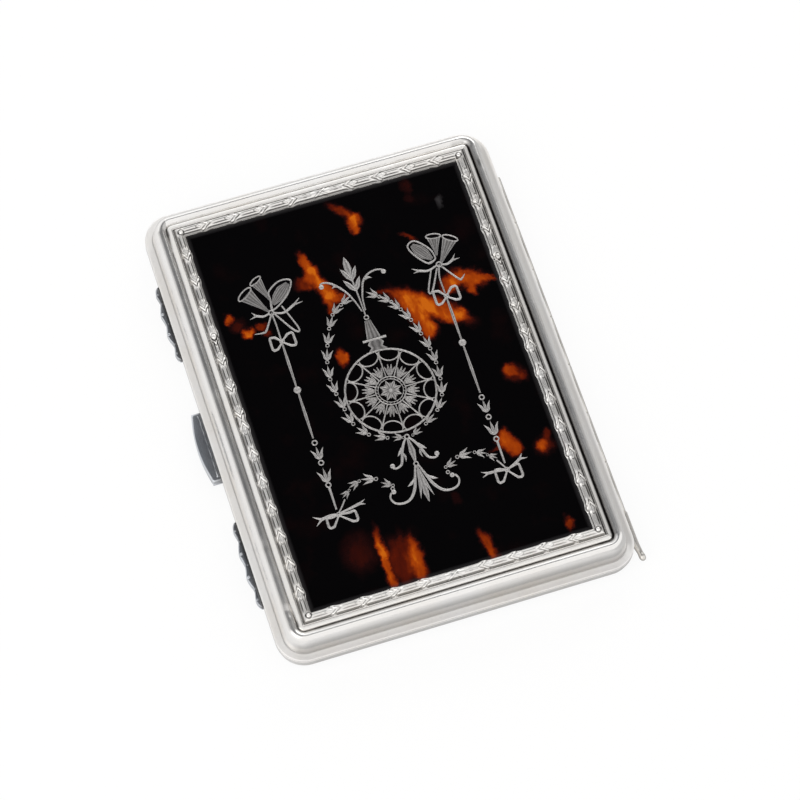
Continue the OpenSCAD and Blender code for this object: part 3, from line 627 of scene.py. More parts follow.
def moulding(side):
    """One mitred strip: a plain outer band, a thin reed, and a tied bundle over the shell's edge."""
    a, b = side_sizes(side)
    kind = "long" if side in ("left", "right") else "short"
    bright, inner_shade = LIGHT[side]
    outer = fillet([(4.79, GROOVE_Z, 0), (4.79, 10.25, 0.1), (4.90, 10.58, 0.06), (5.30, 10.67, 0.05),
                    (5.68, 10.66, 0.05), (5.74, 10.55, 0.03)])
    outer += arc(5.87, 10.58, 0.13, 0.16, 175, 5, 6) + [(6.06, 10.44), (6.12, 10.46)]
    bundle = arc(BUNDLE_S, BUNDLE_Z, BUNDLE_W, 0.85, BUNDLE_TURN, 0, BUNDLE_STEPS)
    inner = fillet([(8.0, 10.50, 0), (8.14, 10.42, 0.08), (8.14, 10.12, 0.04), (7.9, FACE_Z, 0),
                    (WINDOW_S, FACE_Z, 0), (WINDOW_S, GROOVE_Z, 0)])
    section = outer + bundle + inner
    lo, hi = len(outer), len(outer) + len(bundle)
    v = np.array([(s - BUNDLE_S) / BUNDLE_W for s, _ in bundle])
    samples = side_path(b, 5, 0.16)
    verts, dark, satin = [], [], []
    wobble = RNG.uniform(0, 10)
    for sample in samples:
        mid = side_point(0, b, sample, BUNDLE_S)[1]
        h, d = relief(v, mid, kind, side)
        tie = min(abs(abs(mid) - t - 1.0) for t in TIES[kind])
        knot = 0.24 * math.exp(-((tie / 0.85) ** 2))
        for j, (s, z) in enumerate(section):
            shade, soft = 0.0, 0.0
            if lo <= j < hi:
                k = j - lo
                t = math.radians(BUNDLE_TURN - BUNDLE_TURN * k / BUNDLE_STEPS)
                s += h[k] * math.cos(t) + knot * clamp((v[k] - 0.5) / 0.4)
                z += h[k] * math.sin(t)
                soft = 0.35
                # Painted shade on the bundle: lighter where this side is taken as lit, darker on the bottom side,
                # and the right side's outer half darker still.
                lit = v[k] > bright or (v[k] < -0.8 and kind == "long")
                shade = d[k] * (0.35 if lit else 1.0) * (1.5 if side == "bottom" else 1.0)
                shade += 0.22 * (side == "right" and -0.8 < v[k] < 0.25)
            elif j < lo:
                z += 0.02 * math.sin(mid * 0.9 + wobble)
                soft = float(5.0 < s < 5.72)
                # Painted shade: a dark line in the gap by the thin reed between ties, at the reed's foot, and the
                # right side's outer band darker.
                gap = (0.85 if kind == "short" else 0.55) * (tie > 0.55)
                shade = max(0.85 * (s < 5.1), 0.27) if side == "right" else 0.0
                shade += 0.35 * bump_line(s - 5.74, 0.05) + gap * bump_line(s - 6.08, 0.08)
                if side == "left":
                    s -= 0.36 * clamp((5.7 - s) / 0.3) * clamp((b - BUNDLE_S - abs(mid)) / 4)
            elif j < hi + 5:
                s += knot - 0.03
                # Painted shade on the inner edge, set for each side.
                shade = inner_shade
            verts.append((*turned(*side_point(a, b, sample, s), SIDES[side]), z))
            dark.append(shade)
            satin.append(soft)
    n, rows = len(section), len(samples)
    strip = (verts, bridge(n, rows) + caps(n, rows))
    make("strip_" + side, "moulding_" + side, "lid", MOULD, [strip], dark, satin, weld)


def corner_beads():
    """A bead in a dark ring at each corner of the moulding."""
    parts = []
    for sx in (-1, 1):
        for sy in (-1, 1):
            x, y = sx * (HALF_W - 7.4), sy * (HALF_L - 7.4)
            ring = [(x + 0.78 * c, y + 0.78 * s) for c, s in circle(24)]
            parts += [ball(x, y, 11.08, 0.56), slab(ring, 10.5, 11.42, 0.12, 2)]
    dark = [0.75 * (i % 2) for i, (verts, _) in enumerate(parts) for _ in verts]
    make("bead_set", "corner_beads", "lid", MOULD, parts, dark)


# ------------------------------------------------------------------- inlay
INLAY_H = 0.12


def smooth_line(points, n=5):
    """Catmull-Rom samples through the points."""
    p = [np.array(q, float) for q in points]
    p = [2 * p[0] - p[1], *p, 2 * p[-1] - p[-2]]
    out = []
    for i in range(1, len(p) - 2):
        for k in range(n):
            t = k / n
            out.append(0.5 * (2 * p[i] + (p[i + 1] - p[i - 1]) * t
                              + (2 * p[i - 1] - 5 * p[i] + 4 * p[i + 1] - p[i + 2]) * t**2
                              + (3 * p[i] - p[i - 1] - 3 * p[i + 1] + p[i + 2]) * t**3))
    return out + [p[-2]]


def spaced(points, widths, gap=0.24):
    """The same line with its points set close together, and its width at each."""
    p = np.array(points, float)
    far = np.concatenate([[0], np.cumsum(np.hypot(*np.diff(p, axis=0).T))])
    at = np.linspace(0, far[-1], max(len(p), int(far[-1] / gap) + 1))
    return np.stack([np.interp(at, far, p[:, 0]), np.interp(at, far, p[:, 1])], 1), np.interp(at, far, widths)


class Figure:
    """Collects the inlaid strokes of one node."""

    def __init__(self):
        self.verts, self.faces, self.dark = [], [], []
        self.map = []

    def at(self, x, y, turn=0.0, mirror=False):
        """Used with `with`: draws what follows at a place, turned or mirrored."""
        c, s = math.cos(math.radians(turn)), math.sin(math.radians(turn))
        k = -1 if mirror else 1
        self.map.append(lambda q: (x + k * (q[0] * c - q[1] * s), y + q[0] * s + q[1] * c))
        return self

    def __enter__(self):
        return self

    def __exit__(self, *_):
        self.map.pop()

    def point(self, x, y, z, shade):
        for f in reversed(self.map):
            x, y = f((x, y))
        self.verts.append((x, y, FACE_Z + INLAY_H * z))
        self.dark.append(min(1.0, shade))

    def stroke(self, points, widths, soft=True, vein=0.0, hatch=0, ring=False):
        """A flat stroke that swells and thins, with a low dome across it."""
        pts = smooth_line(points) if soft else [np.array(p, float) for p in points]
        w = np.interp(np.linspace(0, 1, len(pts)), np.linspace(0, 1, len(widths)), widths)
        if not ring:
            pts, w = spaced(pts, w)
        twist = 0.5 if max(w) < 0.5 else 0.0
        ts = [-1.0, -1.0, -0.5, 0.0, 0.5, 1.0, 1.0]
        zs = [-0.4, 0.55, 0.95, 1.08, 0.95, 0.55, -0.4]
        # Darker towards a stroke's sunk edges: painted shade on its falling sides and the engraved outline; the vein
        # is an engraved line.
        shades = [0.65, 0.32, 0.0, vein, 0.0, 0.32, 0.65]
        if hatch:
            lines = 2 * hatch + 1
            ts = [-1.0, *np.linspace(-1, 1, lines), 1.0]
            zs = [-0.4, *([0.9] * lines), -0.4]
            shades = [0.6, *[0.85 if i % 2 else 0.45 * (1 - abs(i / hatch - 1)) for i in range(lines)], 0.6]
        m, n, first = len(pts), len(ts), len(self.verts)
        for i in range(m):
            a = pts[i - 1] if (i > 0 or ring) else pts[i]
            b = pts[(i + 1) % m] if (i < m - 1 or ring) else pts[i]
            d = b - a
            half = max(w[i], 0.03) / 2 / (math.hypot(*d) or 1.0)
            for t, z, shade in zip(ts, zs, shades):
                self.point(pts[i][0] - d[1] * half * t, pts[i][1] + d[0] * half * t, z,
                           shade + twist * max(0.0, math.sin(2.4 * i + 1.6 * t)))
        self.faces += bridge(n, m, first, around=False, closed=ring)
        if not ring:
            self.faces += caps(n, m, first)

    def loop(self, r, w, x=0.0, y=0.0, n=48, flat=1.0):
        self.stroke([(x + r * c, y + r * flat * s) for c, s in circle(n)], [w], soft=False, ring=True)

    def dot(self, x, y, r, n=14):
        first = len(self.verts)
        # Darker towards the dot's edge: painted shade on its falling side.
        for q, z, shade in ((1.0, -0.4, 0.5), (1.0, 0.6, 0.15), (0.7, 1.05, 0.0), (0.3, 1.25, 0.0)):
            for c, s in circle(n):
                self.point(x + r * q * c, y + r * q * s, z, shade)
        self.faces += bridge(n, 4, first) + caps(n, 4, first)[1:]

    def leaf(self, length, width, bend=0.0, vein=0.55):
        self.stroke([(0, 0), (bend * 0.4, length * 0.33), (bend * 0.8, length * 0.66), (bend, length)],
                    [0.12, width, width * 0.85, 0.04], vein=vein)

    def husk(self, size=1.0, link=True):
        for k in (-1, 1):
            self.stroke([(0, -1.0 * size), (k * 0.42 * size, -0.55 * size), (k * 0.60 * size, 0.10 * size),
                         (k * 1.08 * size, 0.90 * size)], [0.2 * size, 0.46 * size, 0.40 * size, 0.05], vein=0.3)
        self.stroke([(0, -0.95 * size), (0, 0), (0, 1.3 * size)], [0.2 * size, 0.50 * size, 0.05], vein=0.6)
        if link:
            self.loop(0.30 * size, 0.17 * size, 0, -1.42 * size, n=12)

    def finish(self, name, node):
        make(name, node, "lid", INLAY, [(self.verts, self.faces)], self.dark)


def chain(f, points, sizes):
    """Husks along a line, each opening back towards the first."""
    for i, (p, size) in enumerate(zip(points, sizes)):
        q, r = points[max(i - 1, 0)], points[min(i + 1, len(points) - 1)]
        with f.at(*p, math.degrees(math.atan2(q[1] - r[1], q[0] - r[0])) - 90):
            f.husk(size)


def square_bow(f, knot, x0, x1, top, low):
    """Bow with two square loops that hang at a knot."""
    kx, ky = knot
    for x, k in ((x0, -1), (x1, 1)):
        f.stroke([(kx, ky), (x - k * 1.2, top - 0.2), (x - k * 0.3, top - 0.05), (x - k * 0.05, top - 0.35),
                  (x, low + 0.45), (x - k * 0.3, low), (x - k * 1.1, low + 0.15), (kx, ky - 0.15)],
                 [0.30, 0.56, 0.50, 0.50, 0.54, 0.50, 0.52, 0.30], soft=False)
    f.loop(0.45, 0.26, kx, ky, n=16)


def fork(f, points, tips, width=0.46):
    """Ribbon tail that ends in two points."""
    f.stroke(points, [0.34, width, width + 0.1])
    for tip in tips:
        f.stroke([points[-1], tip], [width, 0.10], soft=False)


def horn(f, a, b, tip):
    """Hatched horn from its pointed end to an open oval mouth between a and b."""
    mx, my = (a[0] + b[0]) / 2, (a[1] + b[1]) / 2
    wide, far = math.hypot(b[0] - a[0], b[1] - a[1]), math.hypot(mx - tip[0], my - tip[1])
    with f.at(*tip, math.degrees(math.atan2(my - tip[1], mx - tip[0])) - 90):
        f.stroke([(0, 0), (0, far * 0.35), (0, far * 0.7), (0, far - 0.35)],
                 [0.35, wide * 0.34, wide * 0.66, wide * 0.9], soft=False, hatch=4)
    with f.at(mx, my, math.degrees(math.atan2(b[1] - a[1], b[0] - a[0]))):
        f.loop(wide / 2, 0.30, n=28, flat=0.36)


def roundel():
    f = Figure()
    with f.at(0.3, -2.45):
        f.loop(9.4, 0.42, n=120)
        for i in range(12):
            with f.at(0, 0, 30 * i):
                f.stroke([(0, 3.1), (0, 8.9)], [0.24, 0.32], soft=False)
                f.stroke([(-0.42, 9.15), (0, 8.35), (0.42, 9.15)], [0.12, 0.34, 0.12], soft=False)
            with f.at(0, 0, 30 * i + 15):
                f.stroke([(-2.22, 8.55), (-1.75, 7.55), (-0.9, 7.0), (0, 6.82), (0.9, 7.0), (1.75, 7.55),
                          (2.22, 8.55)], [0.28])
                for x, y, w in ((-1.12, 5.3, 0.40), (-0.38, 5.9, 0.46), (0.38, 5.9, 0.46), (1.12, 5.3, 0.40)):
                    f.stroke([(x * 0.2, 3.3), (x * 0.6, 4.5), (x, y)], [0.10, w, w, 0.16], vein=0.6)
        f.loop(3.15, 0.24)
        f.loop(2.62, 0.16)
        for i in range(24):
            with f.at(0, 0, 15 * i):
                f.stroke([(0, 2.62), (0.34, 3.12)], [0.12], soft=False)
        for i in range(8):
            with f.at(0, 0, 45 * i + 10):
                f.leaf(2.4, 0.95, vein=0.9)
            with f.at(0, 0, 45 * i + 32):
                f.leaf(1.9, 0.5, vein=0.6)
        f.loop(0.95, 0.2, n=20)
        f.dot(0, 0, 0.55)
    f.finish("roundel", "inlay_roundel")


def garland():
    f = Figure()
    left = [(-2.25, 19.9), (-4.75, 18.5), (-6.75, 16.0), (-8.4, 12.6), (-9.75, 9.1), (-10.6, 5.3), (-10.7, 1.8),
            (-10.2, -2.0), (-9.8, -5.7), (-8.0, -9.3), (-4.9, -11.6), (-1.6, -12.8)]
    right = [(3.4, 19.5), (5.5, 17.8), (7.1, 15.75), (8.6, 13.0), (9.8, 9.5), (10.7, 5.75), (11.1, 2.4),
             (11.0, -1.3), (10.5, -4.9), (9.0, -8.2), (6.1, -10.8), (2.6, -12.7)]
    sizes = [1.08, 1.1, 1.1, 1.15, 1.15, 1.15, 1.15, 1.15, 1.15, 1.1, 1.05, 0.85]
    for points in (left, right):
        chain(f, points, sizes)
    f.finish("garland", "inlay_garland")


def urn_spray():
    f = Figure()
    f.loop(0.46, 0.26, 0.58, 14.8, n=18)
    f.stroke([(0.55, 14.1), (0.58, 12.0), (0.6, 9.95)], [1.2, 2.1, 2.9], soft=False, hatch=3)
    f.stroke([(-1.85, 9.6), (3.2, 9.6)], [0.5], soft=False)
    f.stroke([(0.65, 9.3), (0.65, 9.1), (0.65, 8.6), (0.65, 7.8), (0.65, 7.35), (0.65, 7.0)],
             [2.2, 2.7, 3.5, 2.3, 3.3, 4.0], soft=False, hatch=2)
    f.stroke([(0.55, 15.4), (0.5, 20), (0.3, 25.2)], [0.30, 0.34, 0.40])
    with f.at(0.35, 25.0):
        f.leaf(4.5, 1.5, -0.1)
    for x, y, turn, length in ((0.32, 23.7, 31, 3.7), (0.38, 23.7, -31, 3.6), (0.38, 21.2, 35, 3.65),
                               (0.45, 21.2, -32, 3.55)):
        with f.at(x, y, turn):
            f.leaf(length, 1.0, 0.25 if turn > 0 else -0.25)
    f.stroke([(0.15, 16.4), (-0.6, 19.1), (-1.6, 21.4), (-2.9, 23.2), (-4.3, 24.5), (-5.6, 25.0), (-6.45, 24.75)],
             [0.28, 0.34, 0.38, 0.44, 0.42, 0.38, 0.34])
    f.stroke([(0.9, 16.4), (1.15, 19.1), (1.7, 21.0), (2.5, 23.0), (4.0, 24.3), (5.7, 24.7), (7.1, 24.4)],
             [0.28, 0.34, 0.38, 0.44, 0.42, 0.38, 0.34])
    f.stroke([(-2.9, 23.2), (-3.6, 23.55), (-4.25, 23.2)], [0.3, 0.5, 0.06])
    f.stroke([(2.9, 23.2), (3.7, 23.5), (4.45, 23.2)], [0.3, 0.5, 0.06])
    f.dot(-6.25, 24.2, 0.52)
    f.dot(7.2, 23.85, 0.52)
    f.finish("urn_spray", "inlay_urn_spray")


# Each hanging drop: two horns, shield, its plate, the tie, ribbon ends, ribbons, bow, the staff's top and
# low x, and how much lower its end hangs.
DROPS = {
    "left": (
        [((-23.5, 26.3), (-20.4, 28.5), (-18.3, 22.1)), ((-20.2, 29.0), (-17.7, 30.4), (-17.2, 24.4))],
        [(-17.5, 22.3), (-17.2, 24.6), (-17.0, 26.5), (-14.3, 28.2), (-11.9, 27.7), (-13.1, 25.2), (-15.4, 23.2)],
        [(-17.0, 23.4), (-15.6, 24.7), (-14.2, 26.0), (-12.7, 27.2)], (-17.9, 21.7),
        [([(-18.3, 21.7), (-19.7, 21.4), (-21.1, 21.9)], [(-21.8, 22.9), (-22.6, 21.5)]),
         ([(-17.6, 21.6), (-15.4, 21.0), (-12.9, 22.1)], [(-11.4, 23.3), (-10.9, 22.3)])],
        ([(-18.1, 21.2), (-20.0, 18.2), (-20.8, 17.8), (-22.6, 18.0)],
         [(-17.3, 21.2), (-14.5, 16.5), (-13.5, 16.7), (-15.4, 22.6)]),
        ((-17.7, 14.8), -20.1, -15.0, 16.3, 13.2), (-17.75, -18.3), 0.0,
    ),
    "right": (
        [((18.1, 28.8), (21.2, 28.2), (19.0, 24.0)), ((21.5, 28.0), (24.3, 26.1), (19.0, 21.7))],
        [(18.3, 23.2), (16.7, 22.8), (14.4, 25.7), (13.8, 27.9), (15.6, 28.6), (17.9, 26.1), (18.5, 24.2)],
        [(17.8, 23.5), (16.7, 25.0), (15.7, 26.4), (14.7, 27.8)], (18.8, 21.9),
        [([(18.4, 21.9), (16.2, 21.2), (14.4, 21.7)], [(13.0, 22.6), (13.1, 21.5)]),
         ([(19.2, 21.8), (20.4, 21.5), (21.7, 22.0)], [(22.7, 23.3), (23.4, 22.1)])],
        ([(19.2, 21.2), (21.7, 17.5), (22.3, 17.4), (23.2, 18.2)],
         [(18.1, 21.2), (15.6, 16.5), (14.8, 16.7), (16.8, 21.2)]),
        ((18.0, 14.5), 15.5, 20.7, 16.3, 13.0), (17.95, 17.5), -0.6,
    ),
}


def hanging_drop(side):
    """Trophy of horns and a shield tied to a staff, with a bow and husks under it."""
    f = Figure()
    horns, shield, plate, tie, ends, (out, back), bow, (top_x, low_x), drop = DROPS[side]

    def on_staff(y, lower=0.0):
        return top_x + (low_x - top_x) * (20 - y) / 44, y + lower

    for place in horns:
        horn(f, *place)
    for points, tips in ends:
        fork(f, points, tips)
    f.stroke(out, [0.34, 0.42, 0.42, 0.14])
    f.stroke(back, [0.34, 0.40, 0.36, 0.30])
    square_bow(f, *bow)
    f.stroke([*shield, shield[0], shield[1]], [0.36])
    f.stroke(plate, [0.7, 2.3, 2.5, 0.9], soft=False, hatch=5)
    f.loop(0.55, 0.32, *tie, n=16)
    f.stroke([tie, on_staff(19), on_staff(15.3)], [0.34])
    f.stroke([on_staff(14.2), on_staff(9.5), on_staff(4)], [0.32, 0.62, 0.32], vein=0.7)
    f.dot(*on_staff(3.4), 0.78)
    f.stroke([on_staff(2.8), on_staff(-2.5), on_staff(-7.9, drop)], [0.34, 0.62, 0.30], vein=0.7)
    for y in (-8.9, -13.5, -18.6):
        f.loop(0.50, 0.28, *on_staff(y, drop), n=16)
    for y, size in ((-11.4, 1.25), (-16.5, 1.4)):
        with f.at(*on_staff(y, drop * 0.5)):
            f.husk(size, link=False)
    f.stroke([on_staff(-19.1, drop), on_staff(-24.2, drop)], [0.52, 0.36], soft=False)
    f.finish(side + "_drop", f"inlay_{side}_drop")


def bows():
    f = Figure()
    square_bow(f, (-18.2, -25.4), -20.9, -14.7, -25.4, -27.8)
    fork(f, [(-18.4, -25.2), (-20.0, -25.1), (-21.8, -25.4)], [(-23.4, -24.4), (-23.2, -26.5)], 0.55)
    fork(f, [(-18.0, -25.2), (-15.6, -24.8), (-13.6, -24.4)], [(-12.2, -23.8), (-12.3, -24.8)], 0.5)
    square_bow(f, (17.45, -26.3), 14.9, 20.2, -25.6, -28.7)
    fork(f, [(17.2, -26.3), (15.2, -26.0), (13.6, -25.9)], [(12.2, -25.3), (12.2, -26.5)], 0.5)
    fork(f, [(17.7, -26.2), (19.4, -25.5), (20.7, -24.8)], [(21.4, -23.8), (22.2, -25.0)], 0.5)
    f.finish("lower_bows", "inlay_bows")


def swags():
    f = Figure()
    chain(f, [(-15.5, -21.6), (-13.3, -20.1), (-10.2, -19.8), (-6.9, -21.9)], [0.8, 0.95, 1.15, 0.95])
    chain(f, [(15.6, -22.7), (13.6, -21.2), (10.3, -20.5), (7.0, -21.6)], [0.8, 0.95, 1.15, 0.95])
    f.loop(0.34, 0.22, -6.05, -23.3, n=12)
    f.loop(0.34, 0.22, 5.8, -23.2, n=12)
    f.stroke([(-16.0, -22.6), (-17.1, -24.0), (-18.0, -25.0)], [0.3])
    f.stroke([(16.1, -23.7), (16.9, -25.0), (17.3, -25.9)], [0.3])
    f.finish("swags", "inlay_swags")


def scrolls():
    f = Figure()
    f.loop(0.46, 0.28, 0.27, -13.25, n=16)
    f.stroke([(0.25, -13.8), (0.3, -16.6), (0.2, -19.1)], [0.4, 1.35, 0.4], vein=0.6)
    f.loop(0.45, 0.28, 0.2, -19.5, n=16)
    f.stroke([(0.2, -19.8), (0.2, -23.5), (0.2, -26.0), (0.2, -28.2)], [0.4, 0.75, 1.2, 0.1], vein=0.6)
    for mirror in (False, True):
        with f.at(0.2, 0, mirror=mirror):
            f.stroke([(0.3, -13.5), (1.0, -14.4), (1.8, -15.9), (2.3, -17.4), (2.9, -18.8), (4.0, -19.3),
                      (4.8, -19.1)], [0.3, 0.48, 0.58, 0.55, 0.5, 0.42, 0.34])
            f.dot(4.75, -18.6, 0.5)
            f.stroke([(1.8, -15.3), (2.4, -16.2), (3.1, -16.9)], [0.3, 0.55, 0.06])
            f.stroke([(1.9, -16.4), (1.6, -17.4), (1.8, -18.5)], [0.3, 0.5, 0.06])
            f.stroke([(0.3, -19.7), (1.2, -22.5), (2.0, -24.7), (3.4, -26.5), (5.1, -27.0), (6.7, -26.5),
                      (7.3, -25.2), (6.85, -24.1)], [0.3, 0.55, 0.62, 0.55, 0.48, 0.42, 0.38, 0.36])
            f.dot(6.25, -24.05, 0.5)
            f.stroke([(1.3, -22.5), (2.3, -23.4), (3.2, -23.8)], [0.3, 0.6, 0.06])
            f.stroke([(0.2, -20.8), (0.6, -24.0), (1.4, -27.1)], [0.3, 0.7, 0.08], vein=0.4)
    f.finish("scrolls", "inlay_scrolls")


# ----------------------------------------------------- hinge, catch, mounts
def knuckles(first, x0, x1, z0, z1):
    """Every second knuckle, with the web that holds it."""
    parts = []
    for i in range(first, 7, 2):
        y, half = (i - 3) * KNUCKLE, (KNUCKLE - 0.15) / 2
        parts += [lathe_y(rounded_rod(y - half, y + half, 1.0)),
                  block(x0, x1, y - half + 0.04, y + half - 0.04, z0, z1, 0.06)]
    return parts


def base_hinge():
    """Knuckles, leaf, and the small finger that carries the hinge line on."""
    finger = tube([
        (38.5, -39.6, 0.45), (38.5, -39.9, 0.70), (38.5, -46.2, 0.70), (38.51, -46.9, 0.70), (38.58, -47.7, 0.68),
        (38.70, -48.5, 0.64), (38.79, -49.1, 0.60), (38.84, -49.5, 0.64), (38.89, -49.9, 0.70), (38.95, -50.3, 0.68),
        (38.99, -50.6, 0.56), (39.02, -50.82, 0.36), (39.03, -50.93, 0.08),
    ], 2.85)
    leaf = block(35.58, 36.48, -40.2, 40.2, 1.85, 4.58, 0.1)
    make("base_knuckles", "base_hinge", "base", JOINT, [*knuckles(0, 36.3, 37.7, 3.12, 4.08), leaf, finger])


def push_piece():
    """Bowed push piece with a raised rib along its top and a thin bright plate under it."""
    def bowed(out, half, back, *heights):
        r = (half**2 + 1.0) / 2
        tip = r - HALF_W - out - 1.0
        outline = [(tip - math.sqrt(r * r - y * y), y - 0.8) for y in np.linspace(half, -half, 29)]
        return slab(outline + [(back, -half - 0.8), (back, half - 0.8)], *heights)

    parts = [
        bowed(1.78, 7.95, -36.6, 2.86, 4.3, 0.45, 5),
        bowed(1.74, 7.93, -36.7, 2.3, 2.72, 0.12, 2),
        bowed(1.55, 7.8, -36.8, 2.6, 2.95, 0.05, 1),
    ]
    down = np.linspace(6.4, -7.9, 34)
    rib = slab([(-38.80 - 0.05 * math.cos(1.9 * y), y) for y in down]
               + [(-38.45 + 0.05 * math.cos(2.6 * y), y) for y in down[::-1]], 4.2, 4.42, 0.08, 2)
    # Painted shadow under the lid's lip on the inner part of the top; the rib's dark flecks are its texture.
    dark = [float(x > -38.4 and z > 2.9) for verts, _ in parts for x, _, z in verts]
    dark += [0.1 + 0.3 * (math.sin(5.1 * y) > 0.6) for _, y, _ in rib[0]]
    make("push_button", "push_piece", "push_button", MOUNT, [*parts, rib], dark)


def catch_spring():
    """Bowed leaf spring riveted to the back of the hook plate."""
    bow = [(-33.8 + 0.62 * max(0.0, (abs(y) - 1.4) / 3.2) ** 1.3, y) for y in np.linspace(-4.6, 4.6, 31)]
    leaf = slab([(x + 0.18, y) for x, y in bow] + bow[::-1], 4.2, 5.4, 0.04, 1)
    rivets = [ball(-33.60, y, 4.8, 0.30, n=14) for y in (-0.7, 0.7)]
    make("leaf_spring", "catch_spring", "push_button", STEEL, [leaf, *rivets])


# Half the outline of a side mount: place along its half length, how far it stands out.
MOUNT_HALF = [(0, 0.95), (0.1, 1.1), (0.26, 1.4), (0.42, 1.15), (0.57, 0.7), (0.68, 0.85), (0.8, 1.05),
              (0.92, 0.85), (0.99, 0.38)]


def side_mount(name, node, cy, half):
    """Cast mount of joined lobes with scooped faces, with painted shade darker towards the case, under the lid's
    overhang.
    """
    upper = [tuple(q) for q in smooth_line([(-HALF_W - p, d * half) for d, p in MOUNT_HALF], 4)]
    line = [(x, -y) for x, y in upper[:0:-1]] + upper
    outline = [(min(x, -38.02), y + cy) for x, y in line][::-1] + [(-HALF_W, cy - half), (-HALF_W, cy + half)]
    parts = [slab(outline, 3.62, 4.68, 0.26, 4), slab(outline, 3.3, 3.58, 0.1, 2)]
    for d, p, r in ((0.27, 0.95, 0.40), (-0.27, 0.95, 0.40), (0.8, 0.66, 0.34), (-0.8, 0.66, 0.34)):
        parts.append(ball(-HALF_W - p, cy + d * half, 4.56, r, 0.45, 16))
    parts += [ball(-38.42, cy + d * half, 4.60, 0.26, 0.4, 14) for d in (0.55, -0.55, 0.0)]
    dark = [min(0.9, max(0.0, (x + 39.1) * 0.9)) * (z > 3.6) for verts, _ in parts for x, _, z in verts]
    make(name, node, "base", MOUNT, parts, dark)


def backing_tabs():
    """Folded tabs behind the panel, two on each side."""
    parts = []
    for side, degrees in SIDES.items():
        a, b = side_sizes(side)
        for place in (-0.72 * b, 0.72 * b):
            verts, faces = add([
                block(a - 6.17, a - 5.2, place - 1.5, place + 1.5, 8.75, 9.14, 0.06),
                block(a - 6.35, a - 5.2, place - 1.5, place + 1.5, 8.35, 8.77, 0.08),
            ])
            parts.append(([(*turned(x, y, degrees), z) for x, y, z in verts], faces))
    make("tabs", "backing_tabs", "lid", INSIDE, parts)


# ------------------------------------------------------------------ linings
def pad(name, node, body, half_x, half_y, radius, z_flat, z_soft, notch=()):
    """Padded silk panel: full in the middle, drawn down and slightly puckered at its edges."""
    def lines(half, count, extra):
        return sorted(set(np.round([*np.linspace(-half, half, count), *extra], 4)))

    def close_back(bm):
        made = bmesh.ops.extrude_edge_only(bm, edges=[e for e in bm.edges if e.is_boundary])
        for v in made["geom"]:
            if isinstance(v, bmesh.types.BMVert):
                v.co.z = z_flat * MM
        bmesh.ops.holes_fill(bm, edges=[e for e in bm.edges if e.is_boundary], sides=0)

    xs = lines(half_x, 76, notch[:1])
    ys = lines(half_y, 108, [k * y for y in notch[1:] for k in (-1, 1)])
    cx, cy = half_x - radius, half_y - radius
    grid, verts = {}, []
    for i, x in enumerate(xs):
        for j, y in enumerate(ys):
            if notch and abs(y) <= notch[1] + 1e-6 and x < notch[0] - 1e-6:
                continue
            px, py = x, y
            dx, dy = abs(x) - cx, abs(y) - cy
            if dx > 0 and dy > 0:
                far, reach = max(dx, dy), math.hypot(dx, dy)
                px = math.copysign(cx + dx * far / reach, x)
                py = math.copysign(cy + dy * far / reach, y)
            d = min(half_x - abs(px), half_y - abs(py))
            if abs(px) > cx and abs(py) > cy:
                d = radius - math.hypot(abs(px) - cx, abs(py) - cy)
            if notch:
                d = min(d, math.hypot(max(x - notch[0], 0), max(abs(y) - notch[1], 0)))
            d = max(d, 0.0)
            rise = math.sqrt(1 - (1 - min(d / 2.6, 1.0)) ** 2)
            edge = px if abs(py) / half_y > abs(px) / half_x else py
            pucker = 0.07 * math.exp(-(((d - 1.6) / 1.4) ** 2))
            pucker *= math.sin(2.3 * edge + 1.3 * math.sin(px * 0.7 + py * 0.31))
            swell = 0.03 * math.sin(px * 0.11 + 0.4) * math.sin(py * 0.083 + 1.1)
            grid[i, j] = len(verts)
            verts.append((px, py, z_flat + (z_soft - z_flat) * (0.06 + 0.90 * rise + pucker + swell)))
    quads = [[(i, j), (i + 1, j), (i + 1, j + 1), (i, j + 1)]
             for i in range(len(xs) - 1) for j in range(len(ys) - 1)]
    faces = [tuple(grid[q] for q in quad) for quad in quads if all(q in grid for q in quad)]
    obj = make(name, node, body, SILK, [(verts, faces)], work=close_back, angle=50)


lid_shell()
base_shell()
base_rim()
for side in SIDES:
    moulding(side)
corner_beads()
roundel()
garland()
urn_spray()
for side in ("left", "right"):
    hanging_drop(side)
bows()
swags()
scrolls()
base_hinge()
make("lid_knuckles", "lid_hinge", "lid", JOINT, knuckles(1, 36.95, 38.0, 4.1, 5.19))
make("pin", "hinge_pin", "base", JOINT, [lathe_y(rounded_rod(-40.1, 40.1, 0.45, 0.1), 20)])
push_piece()
make("hook", "catch_hook", "push_button", JOINT, [
    block(-36.6, -34.3, -4.0, 4.0, 2.8, 3.8, 0.12),  # stem
    block(-34.4, -33.8, -5.0, 5.0, 2.8, 7.8, 0.12),  # plate
    block(-34.85, -34.3, -4.6, 4.6, 7.2, 7.78, 0.12),  # nose
])
catch_spring()
make("housing", "catch_housing", "base", INSIDE, [
    block(-31.98, -31.6, -9.0, 9.0, 0.6, 5.1, 0.12),
    block(-33.9, -31.8, -9.0, -8.6, 0.6, 5.1, 0.12),
    block(-33.9, -31.8, 8.6, 9.0, 0.6, 5.1, 0.12),
])
make("keeper", "lid_keeper", "lid", JOINT, [block(-35.69, -35.0, -5.0, 5.0, 6.4, 7.1, 0.14)])
side_mount("mount_upper", "upper_side_mount", 28.2, 8.8)
side_mount("mount_lower", "lower_side_mount", -28.2, 9.7)
backing_tabs()
pad("base_pad", "base_lining", "base", 33.8, 47.8, 1.8, 0.61, 1.6, notch=(-31.4, 9.2))
pad("lid_pad", "lid_lining", "lid", 31.6, 45.6, 0.8, 8.74, 7.95)

